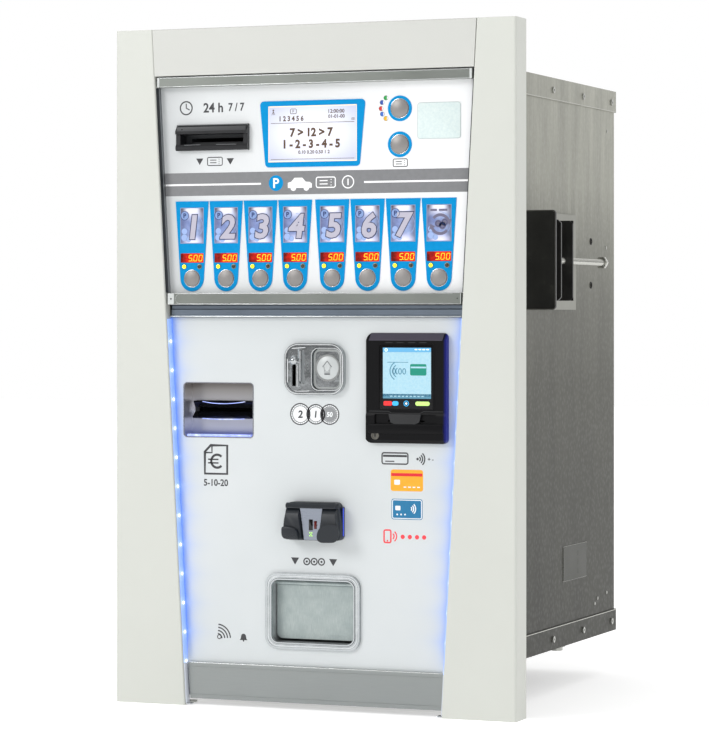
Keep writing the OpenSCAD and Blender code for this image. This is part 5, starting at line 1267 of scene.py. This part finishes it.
class StationCards(bpy.types.Operator):
    """Finishes the card terminal and the prepaid-key reader"""

    bl_idname = "station.cards"
    bl_label = "Card terminal and key reader"

    def execute(self, context):
        # Black ABS, its right side lit by the strip beside it.
        looks = {"Emission_Strength": 0.3, "Specular_IOR_Level": 0.15}
        case, tree, shader, coord = blank("black_abs_terminal", "#0B0B0D", 0.36, **looks)
        part = add(tree, "SeparateXYZ", {"Vector": (coord, "Object")})
        side = remap(tree, (part, "X"), 0.2025, 0.2078, interpolation_type="SMOOTHSTEP")
        shine = add(tree, "Mix", {0: side}, data_type="RGBA", _6=(0, 0, 0, 1), _7=linear("#2630C8"))
        feed(shader, "Emission Color", shine, 2)
        grain = noise(tree, coord, 1200.0)
        bump(tree, shader, (grain, "Fac"), 0.3, 0.05)
        dress(case, "card_terminal")
        gloss = moulded("gloss_black_window", "#050506", 0.07)
        dress(gloss, "terminal_screen")
        rubber = moulded("black_rubber_tongue", "#1C1D1F", 0.55)
        grey = moulded("grey_violet_top_strip", "#443F4C", 0.4)
        low, high = corners("card_terminal")
        tx = (low[0] + high[0]) / 2
        z0, z1 = low[2], high[2]
        y0 = PANEL_Y - 11.0
        shape = Shape()
        # sloped strip along the top edge: a thin sheet on the slope from the face to the panel
        slope = ((y0 - 0.35, z1 - 10.4), (PANEL_Y - 1.2, z1 - 0.1), (PANEL_Y - 1.0, z1 - 0.9), (y0 + 0.5, z1 - 11.6))
        shape.add(stack([[(x, y, z) for y, z in slope] for x in (tx - 57.5, tx + 55.5)]), 1)
        # pale line along the top edge: a painted highlight
        shape.add(stroke([(tx - 57.5, z1 - 0.6), (tx + 57.5, z1 - 0.6)], 1.0, PANEL_Y - 0.2, PANEL_Y - 1.6), 3)
        # raised bezel round the screen, and the row of ribs above it
        shape.add(stroke(rounded_box(tx, z0 + 95.5, 84.5, 95.5, 3, 5), 2.0, y0 + 0.4, y0 - 0.55, True), 0)
        for k in (-26, -9, 9, 26):
            shape.add(plate(rounded_box(tx + k, z0 + 145.2, 11, 1.1, 0.5, 3), y0 + 0.3, y0 - 0.5, 0.2), 2)
        # hood with the tongue between the two hollows
        tongue = np.array([(-30, -15.5), (-22, -19), (22, -19), (30, -15.5), (34, 0), (-34, 0)]) * (0.74, 0.78)
        shape.add(plate(tongue + (tx - 1, z0 + 42.6), y0 + 0.4, y0 - 3.3, 1.0), 2)
        shape.add(plate(rounded_box(tx, z0 + 21.0, 117, 14.5, 4.5, 6), y0, y0 - 3.0, 1.2), 0)
        seam = np.array([(-57, 46.2), (-27, 46.2), (-22, 43.6), (22, 43.6), (27, 46.2), (57, 46.2)]) + (tx, z0)
        shape.add(stroke(seam, 1.1, y0 + 0.2, y0 - 0.6), 2)
        lx, lz = tx - 47, z0 + 11.5
        steps = ((6.2, 0.4), (6.2, -2.2), (5.6, -2.8), (4.3, -2.8), (4.1, -2.2), (2.0, -2.2), (1.8, -1.6), (0.05, -1.6))
        shape.add(turned(lx, lz, [(r, y0 + y) for r, y in steps], 36), 4)
        shape.add(plate(rounded_box(lx, lz, 1.2, 5.4, 0.3, 2), y0 - 1.5, y0 - 2.5), 2)
        edge = moulded("black_edge_line_painted_highlight", "#55565A", 0.3)
        lock = drawn_metal("dull_lock_face", "#6E6C66", 0.4, (1, 1, 1))
        shape.piece("terminal_trims", FIXED, [case, grey, rubber, edge, lock], "terminal_case", 40)

        # Screen: a lit colour liquid crystal under glass.
        field = lit("pale_cyan_backlight", "#94B4C0", 0.62, "#60A0B8")
        bar_blue = lit("sky_blue_bar", "#5B9CC2", 0.5, "#3F92CE")
        slate = lit("slate_bar", "#4E8096", 0.45, "#3F6A80")
        black = moulded("unlit_screen_band", "#0A0C10", 0.12)
        red, sky = lit("red_key", "#E0292B", 0.55), lit("sky_key", "#37A7E0", 0.5)
        lime = lit("lime_key", "#B9E37A", 0.45)
        white, teal = lit("white_screen_marks", "#F2FAFF", 0.8), lit("teal_screen_marks", "#0B7F6B", 0.35)
        y = corners("terminal_screen")[0][1]
        at, over, top = (y + LIP, y - 0.1), (y, y - 0.2), (y - 0.1, y - 0.3)
        cx, w = 147.5, 74.0
        shape = Shape()
        shape.add(plate(rounded_box(cx, 486.4, w, 87.4), *at), 3)
        shape.add(plate(rounded_box(cx, 491.5, w, 64.0), *over), 0)
        shape.add(plate(rounded_box(cx, 526.4, w, 6.4), *over), 1)
        shape.add(plate(rounded_box(cx, 459.8, w, 6.6), *over), 2)
        for k in (14, 20, 26, 32):
            shape.add(plate(rounded_box(cx + k, 527.0, 4, 1.2), *top), 7)
        shape.add(stroke(circle(cx - 32, 526.4, 1.9, 14), 0.8, *top, True), 7)
        # card over a reading field, a generic sign in the middle of the screen
        shape.add(plate(rounded_box(cx + 17.5, 498.0, 25, 16.5, 2.2, 4), *top), 8)
        shape.add(stroke([(cx + 6.0, 501.4), (cx + 29.5, 501.4)], 2.4, y - 0.2, y - 0.4), 0)
        for r in (5, 9.5, 14):
            shape.add(stroke(arc(cx - 12, 496.0, r, 120, 240, 16), 1.5, *top), 2)
        shape.add(stroke([(cx - 30, 508.6), (cx + 2, 508.6)], 0.9, *top), 2)
        shape.add(word("0.00", cx - 12, 495.6, 9.0, *top, 0.1), 2)
        for k in range(9):
            shape.add(plate(rounded_box(cx - 24 + k * 6, 459.8, 3.6, 1.5), *top), 0)
        shape.add(plate(rounded_box(cx - 29.5, 449.4, 13, 6.4, 1.6, 3), *over), 4)
        shape.add(plate(rounded_box(cx - 17.8, 449.4, 9.6, 6.4, 2.6, 4), *over), 5)
        shape.add(stroke(circle(cx - 1, 449.4, 3.6, 20), 1.0, *over, True), 5)
        shape.add(plate(circle(cx - 1, 449.4, 1.5, 12), *over), 7)
        shape.add(plate(rounded_box(cx + 24, 449.4, 22, 6.0, 2.8, 5), *over), 6)
        inks = [field, bar_blue, slate, black, red, sky, lime, white, teal]
        shape.piece("terminal_picture", FIXED, inks, "terminal_lcd")

        # Key reader: dark slate ABS, ribbed metal shield, navy where the blue light reaches its side.
        slate_abs = moulded("slate_abs_reader", "#161C23", 0.4, lift=0.3)
        dress(slate_abs, "key_reader")
        shield = drawn_metal("ribbed_reader_shield", "#9AA0AC", 0.33, (0.02, 1, 1), 0.5, 0.08)
        dress(shield, "key_socket")
        navy = moulded("navy_lit_side", "#1B2767", 0.35)
        blue_line = lit("painted_strip_light_line", "#3550DD", 1.2)
        oval = moulded("dark_red_filter", "#5C1413", 0.12)
        window = moulded("black_reader_window", "#060708", 0.08)
        green = lit("green_lamp_dots", "#9FE03C", 1.4)
        low, high = corners("key_reader")
        x0, z0 = (low[0] + high[0]) / 2, low[2]
        socket_y = corners("key_socket")[0][1]
        shape = Shape()
        shape.add(plate(rounded_box(x0 - 0.5, z0 + 25, 6.0, 15.6, 0.6, 3), socket_y + 2.4, socket_y - 0.7, 0.3), 0)
        shape.add(plate(rounded_box(x0 + 6.8, z0 + 25, 4.2, 11.6, 2.0, 5), socket_y + 2.4, socket_y - 0.7, 0.3), 1)
        for dx, dz in ((-1.6, -2.2), (1.6, -2.2), (-1.6, 2.2), (1.6, 2.2), (0, 0)):
            shape.add(plate(circle(x0 - 0.3 + dx, z0 + 11.2 + dz, 0.8, 10), socket_y + 0.5, socket_y - 0.35), 2)
        side_x = high[0]
        # the side that the strip lights, and the bright line along it, both painted light of the strip
        for h, slot, near, far, out in (
            (44, 3, PANEL_Y - 9, PANEL_Y - 0.5, -0.05),
            (40, 4, PANEL_Y - 6.2, PANEL_Y - 5.2, 0.2),
        ):
            outline = rounded_box((near + far) / 2, z0 + 29, far - near, h, min(1.5, (far - near) / 3), 3)
            shape.add(stack([[(x, y, z) for y, z in outline] for x in (side_x - 1.0, side_x + out)]), slot)
        shape.piece("key_reader_trims", FIXED, [window, oval, green, navy, blue_line, slate_abs], "reader_case", 40)

        # Its body: a rounded back, a sloping cheek on each side of the throat, and a wing below each cheek.
        front = low[1]
        shape = Shape()
        back = softened([(-40, 57.6), (40, 57.6), (43.6, 30), (43.6, 2), (-43.6, 2), (-43.6, 30)], 8) + (x0, z0)
        shape.add(plate(back[::-1], PANEL_Y + 0.2, front + 13.2, 4.0, 4), 0)
        rings = []
        for depth, top, half in ((16, 56.5, 41.5), (11, 54.5, 40.5), (8.4, 50.2, 39.0), (7.4, 49.2, 38.0)):
            hood = softened([(-half, top), (half, top), (half, 49), (-half, 49)], 1.6) + (x0, z0)
            rings.append(placed_at(hood, front + depth))
        shape.add(stack(rings), 0)
        for s in (-1, 1):
            cheek = np.array([(18.6, 52), (39, 52), (41.8, 28), (43.2, 12), (40, 3), (13.4, 3), (15.4, 22)])
            cheek = softened(cheek * (s, 1), 3.4) + (x0, z0)
            rings = []
            for u in np.linspace(0, 1, 7):
                y = front + 15 - 9.0 * u
                drop = np.clip(cheek[:, 1] - z0 - (52 - 11 * u), 0, None)
                points = np.column_stack([cheek[:, 0], cheek[:, 1] - drop])
                middle = points.mean(axis=0)
                points = middle + (points - middle) * (1 - 0.05 * max(0, u - 0.7) / 0.3)
                rings.append(placed_at(points, y))
            shape.add(stack(rings), 0)
            wing = [(20.4, 19.4), (31, 23.4), (43.4, 22.4), (44, 12), (41.2, 4.4), (20, 3.6), (16.4, 6.4), (17.4, 14)]
            wing = softened(np.array(wing) * (s, 1), 4.2) + (x0, z0)
            shape.add(plate(wing, front + 10, front + 0.05, 3.6, 6), 0)
            # pale line along the wing's top edge: a painted highlight
            line = np.array([(22.4, 17.4), (31, 20.4), (39.6, 19.8)]) * (s, 1) + (x0, z0)
            shape.add(stroke(line, 0.8, front + 3.0, front + 1.2), 1)
        wing_highlight = moulded("slate_edge_painted_highlight", "#5C6670", 0.3)
        shape.piece("key_reader_body", FIXED, [slate_abs, wing_highlight], "reader_case", 50, ["key_reader"])
        return {"FINISHED"}


# ---- housing, clamps and inner modules ----


def galvanised(name, hexa_top, hexa_low):
    """Hot-dip galvanised sheet, rolled and rubbed: upright streaks, spangle 8 mm across, painted shade towards the base
    and the frame.
    """
    material, tree, shader, coord = blank(name, hexa_top, 0.45, 0.55)
    streak = lines_along(tree, coord, (1, 1, 0.03), 420.0, 4.0, 0.65)
    band = lines_along(tree, coord, (1, 1, 0.12), 26.0, 4.0)
    spangle = add(tree, "TexVoronoi", {"Vector": (coord, "Object")}, Scale=125.0)
    stain = noise(tree, coord, 11.0, 6.0, 0.7)
    part = add(tree, "SeparateXYZ", {"Vector": (coord, "Object")})
    # painted shade: the sheet's grey darkens from top to base
    tints = [
        (0.04, hexa_low), (0.3, "#44443D"), (0.47, "#53534B"), (0.6, "#6A6A62"), (0.68, "#7F7F76"),
        (0.78, hexa_top), (0.95, "#A5A59B"),
    ]
    climb = ramp(tree, (part, "Z"), tints)
    # painted shadow of the frame: darker near it
    frame_shade = remap(tree, (part, "Y"), 0.0, 0.6, 0.86, 1.08)
    climb = add(tree, "VectorMath", {0: climb, "Scale": frame_shade}, operation="SCALE")
    lines = maths(tree, "ADD", (streak, "Fac"), (band, "Fac"))
    tone = remap(tree, lines, 0.68, 1.32, 0.76, 1.16)
    grey = add(tree, "VectorMath", {0: climb, "Scale": tone}, operation="SCALE")
    spots = ramp(tree, (stain, "Fac"), [(0.28, 0.82), (0.42, 1.0)])
    worn = add(tree, "Mix", {6: grey, 7: spots}, data_type="RGBA", blend_type="MULTIPLY", _0=0.7)
    feed(shader, "Base Color", worn, 2)
    rough = remap(tree, (spangle, "Distance"), 0.0, 0.6, 0.38, 0.5)
    feed(shader, "Roughness", rough)
    bump(tree, shader, (streak, "Fac"), 0.15, 0.05)
    return material


class StationHousing(bpy.types.Operator):
    """Finishes the housing, its door, screws and rivets, and adds the flange seams"""

    bl_idname = "station.housing"
    bl_label = "Housing"

    def execute(self, context):
        # One sheet for the whole housing: streaked, with painted shade from pale above to nearly black near the base.
        sheet = galvanised("galvanised_side_sheet", "#9B9B91", "#35352E")
        dress(sheet, "housing_shell", "housing_lid", "housing_base", "rear_door")
        zinc = drawn_metal("zinc_plated_screws", "#B2B3AE", 0.3, (1, 1, 1), 0.3, 0.08)
        dress(zinc, "housing_hardware", "door_lock")
        # Blank rating plate: anodised foil with empty ruled boxes.
        foil = drawn_metal("anodised_plate_foil", "#43443E", 0.4, (0.02, 1, 1), 0.4, 0.05)
        rule = printed("dark_plate_rule", "#161714")
        side_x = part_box("housing_shell")[1].x * 1000
        shape = Shape()

        def on_side(outline, x_in, x_out, material):
            """A plate on the side wall: the outline's first number runs along Y, and it rises along X."""
            rings = [[(x, a, b) for a, b in outline] for x in (x_in, x_out)]
            shape.add(stack(rings), material)

        on_side(rounded_box(395.5, 193, 116, 53.4, 2, 3), side_x + 0.5, side_x + 1.0, 0)
        for k in range(5):
            on_side(rounded_box(372, 175 + k * 9, 56, 0.8), side_x + 0.9, side_x + 1.08, 1)
        for k in range(3):
            on_side(rounded_box(428, 178 + k * 14, 38, 9), side_x + 0.9, side_x + 1.06, 1)
            on_side(rounded_box(428, 178 + k * 14, 36.4, 7.6), side_x + 1.0, side_x + 1.14, 0)
        # folded beads along the flanges of the lid and the base
        low, high = corners("housing_lid")
        for z in (low[2] + 1.2, corners("housing_base")[1][2] - 1.2):
            on_side(rounded_box((2 + high[1]) / 2, z, high[1] - 6, 1.0, 0.4, 2), side_x + 1.6, side_x + 2.35, 2)
        seam = drawn_metal("bright_cut_edge", "#BBBBB4", 0.3)
        # Black rings round the spare clamp holes, open in the middle, on both side walls: painted shade of the holes.
        rubber = moulded("painted_shade_hole_ring", "#0C0C0B", 0.7)
        hole_y, clamp_z, hole_step = 479.0, 658.0, 34.5
        steps = ((5.4, -0.3), (5.4, 0.7), (4.9, 1.0), (3.5, 0.7), (3.5, -0.3))
        for side in (-1, 1):
            lining = [(r, side * (side_x + out)) for r, out in steps]
            for z in (clamp_z - hole_step, clamp_z + hole_step):
                shape.add(turned_across(hole_y, z, lining, 24, True), 3)
        shape.piece("side_plate_and_beads", FIXED, [foil, rule, seam, rubber], "zinc_steel")
        return {"FINISHED"}


def threaded_rod(x, z, y0, y1, radius, pitch, depth, sides=20):
    """A threaded rod along Y: radius less depth times a triangle wave of (y over pitch less turn)."""
    y = np.arange(y0, y1, pitch / 4)
    a = np.linspace(0, 2 * math.pi, sides, endpoint=False)
    phase = (y[:, None] - y0) / pitch - a[None] / (2 * math.pi)
    wave = np.abs(2 * (phase - np.floor(phase + 0.5)))
    r = radius - depth * wave
    r[[0, -1]] = radius - depth
    return stack(np.stack([x + r * np.cos(a), np.broadcast_to(y[:, None], r.shape), z + r * np.sin(a)], -1))


class StationClamps(bpy.types.Operator):
    """Finishes the wall clamps and gives their bolts a thread"""

    bl_idname = "station.clamps"
    bl_label = "Wall clamps"

    def execute(self, context):
        # Clamps: black paint on steel, mottled and rubbed to grey in places; seats and bolts are zinc plated.
        black, tree, shader, coord = blank("black_painted_steel", "#141412", 0.42, Coat_Weight=0.2)
        cloud = noise(tree, coord, 35.0, 5.0, 0.7)
        shade = ramp(tree, (cloud, "Fac"), [(0.3, "#0E0E0D"), (0.62, "#1D1D1B"), (0.75, "#34332F")])
        feed(shader, "Base Color", shade)
        grain = noise(tree, coord, 900.0)
        bump(tree, shader, (grain, "Fac"), 0.25, 0.05)
        dress(black, "clamp_brackets", "clamp_jaw_left", "clamp_jaw_right")
        dress(drawn_metal("zinc_plated_seat", "#8C8C84", 0.35, (1, 1, 0.05)), "clamp_plates")
        zinc = drawn_metal("zinc_plated_rod", "#C2C2BC", 0.24, (1, 1, 1), 0.4, 0.06)
        worn = drawn_metal("rubbed_steel_edge", "#7C7B76", 0.35, (1, 1, 1))
        size = sizes()
        for label in ("left", "right"):
            node = f"clamp_bolt_{label}"
            low, high = corners(node)
            x, z = (low[0] + high[0]) / 2, (low[2] + high[2]) / 2
            head = high[1]
            shape = Shape()
            shape.add(threaded_rod(x, z, low[1], head - 7.2, 5.0, size.thread_pitch, 0.55), 0)
            # hexagon head with its chamfer: the corners are cut back to a circle at both faces
            point_r = 9.8
            a = np.linspace(0, 2 * math.pi, 48, endpoint=False)
            apothem = point_r * math.cos(math.pi / 6)
            hexagon = np.minimum(apothem / np.cos((a % (math.pi / 3)) - math.pi / 6), point_r)
            rings = []
            for y, limit in ((head, 8.6), (head - 0.9, point_r), (head - 6.4, point_r), (head - 7.2, 9.0)):
                r = np.minimum(hexagon, limit)
                rings.append(np.column_stack([x + r * np.cos(a), np.full(48, y), z + r * np.sin(a)]))
            shape.add(stack(rings), 0)
            shape.add(turned(x, z, [(8.0, head - 7.2), (8.0, head - 9.6), (5.2, head - 9.9)], 36), 0)
            shape.piece(f"threaded_bolt_{label}", node, [zinc], "zinc_bolt", 35, [node])
            # rubbed edge of the jaw, where bare steel shows
            low, high = corners(f"clamp_jaw_{label}")
            cx, cz = (low[0] + high[0]) / 2, (low[2] + high[2]) / 2
            shape = Shape()
            outline = inset(rounded_box(cx, cz, high[0] - low[0], high[2] - low[2], 5, 5), 0.9)
            shape.add(stroke(outline, 0.9, low[1] + 2.0, low[1] + 0.7, True), 0)
            shape.piece(f"jaw_edge_{label}", f"clamp_jaw_{label}", [worn], "black_steel", 40)
        # washers under the bolts, on the brackets' rear faces
        low, high = corners("clamp_brackets")
        steps = ((5.6, 0.15), (10.3, 0.15), (10.3, -1.9), (5.6, -1.9))
        shape = Shape()
        for label in ("left", "right"):
            bolt_x = centre(f"clamp_bolt_{label}")[0]
            shape.add(turned(bolt_x, (low[2] + high[2]) / 2, [(r, high[1] + y) for r, y in steps], 40, True), 0)
        shape.piece("bracket_washers", FIXED, [zinc], "zinc_bolt", 40)
        return {"FINISHED"}


class StationModules(bpy.types.Operator):
    """Finishes the modules inside the housing"""

    bl_idname = "station.modules"
    bl_label = "Inner modules"

    def execute(self, context):
        # Dark plastic cases, green boards and brass discs, all out of sight behind the closed door.
        dress(moulded("dark_module_case", "#2A2D30", 0.5), "ticket_printer", "coin_hoppers")
        dress(moulded("green_circuit_boards", "#24503A", 0.45), "electronics")
        dress(drawn_metal("hopper_disc_brass", "#B8924F", 0.35, (1, 1, 1)), "hopper_disc_left", "hopper_disc_right")
        # Wound paper: the edges of its turns show as fine rings on both ends.
        paper, tree, shader, coord = blank("wound_thermal_paper", "#EDEBE2", 0.7)
        x, y, z = centre("paper_roll") / 1000
        moved = add(tree, "Mapping", {"Vector": (coord, "Object")}, Location=(-x, -y, -z))
        flat = add(tree, "VectorMath", {0: moved}, _1=(0.0, 1.0, 1.0), operation="MULTIPLY")
        reach = add(tree, "VectorMath", {0: flat}, operation="LENGTH")
        turns = maths(tree, "MULTIPLY", (reach, "Value"), 3500.0)
        wave = maths(tree, "SINE", turns)
        shade = ramp(tree, wave, [(0.0, "#DAD7CB"), (0.6, "#F0EEE6")])
        feed(shader, "Base Color", shade)
        dress(paper, "paper_roll")
        return {"FINISHED"}


class StationPanel(bpy.types.Panel):
    """Lists the parts of the pay station"""

    bl_idname = "VIEW3D_PT_station"
    bl_label = "Pay station"
    bl_space_type = "VIEW_3D"
    bl_region_type = "UI"
    bl_category = "Pay station"

    def draw(self, context):
        for group in (sizes(), colours()):
            box = self.layout.box()
            for name in group.__annotations__:
                box.prop(group, name)
        for operator in OPERATORS:
            self.layout.operator(operator.bl_idname)


OPERATORS = (
    StationStage, StationFascia, StationDisplay, StationBays, StationLowerPanel,
    StationCash, StationCards, StationHousing, StationClamps, StationModules,
)
CLASSES = (StationSizes, StationColours, *OPERATORS, StationPanel)


def register():
    """Registers the classes and the two groups of settings."""
    for item in CLASSES:
        bpy.utils.register_class(item)
    bpy.types.Scene.station_sizes = bpy.props.PointerProperty(type=StationSizes)
    bpy.types.Scene.station_colours = bpy.props.PointerProperty(type=StationColours)


def unregister():
    """Takes the settings and the classes out again."""
    del bpy.types.Scene.station_sizes
    del bpy.types.Scene.station_colours
    for item in reversed(CLASSES):
        bpy.utils.unregister_class(item)


def main():
    """Adds the stage and every group of parts."""
    register()
    for operator in OPERATORS:
        group, name = operator.bl_idname.split(".")
        getattr(getattr(bpy.ops, group), name)()


if __name__ == "__main__":
    main()
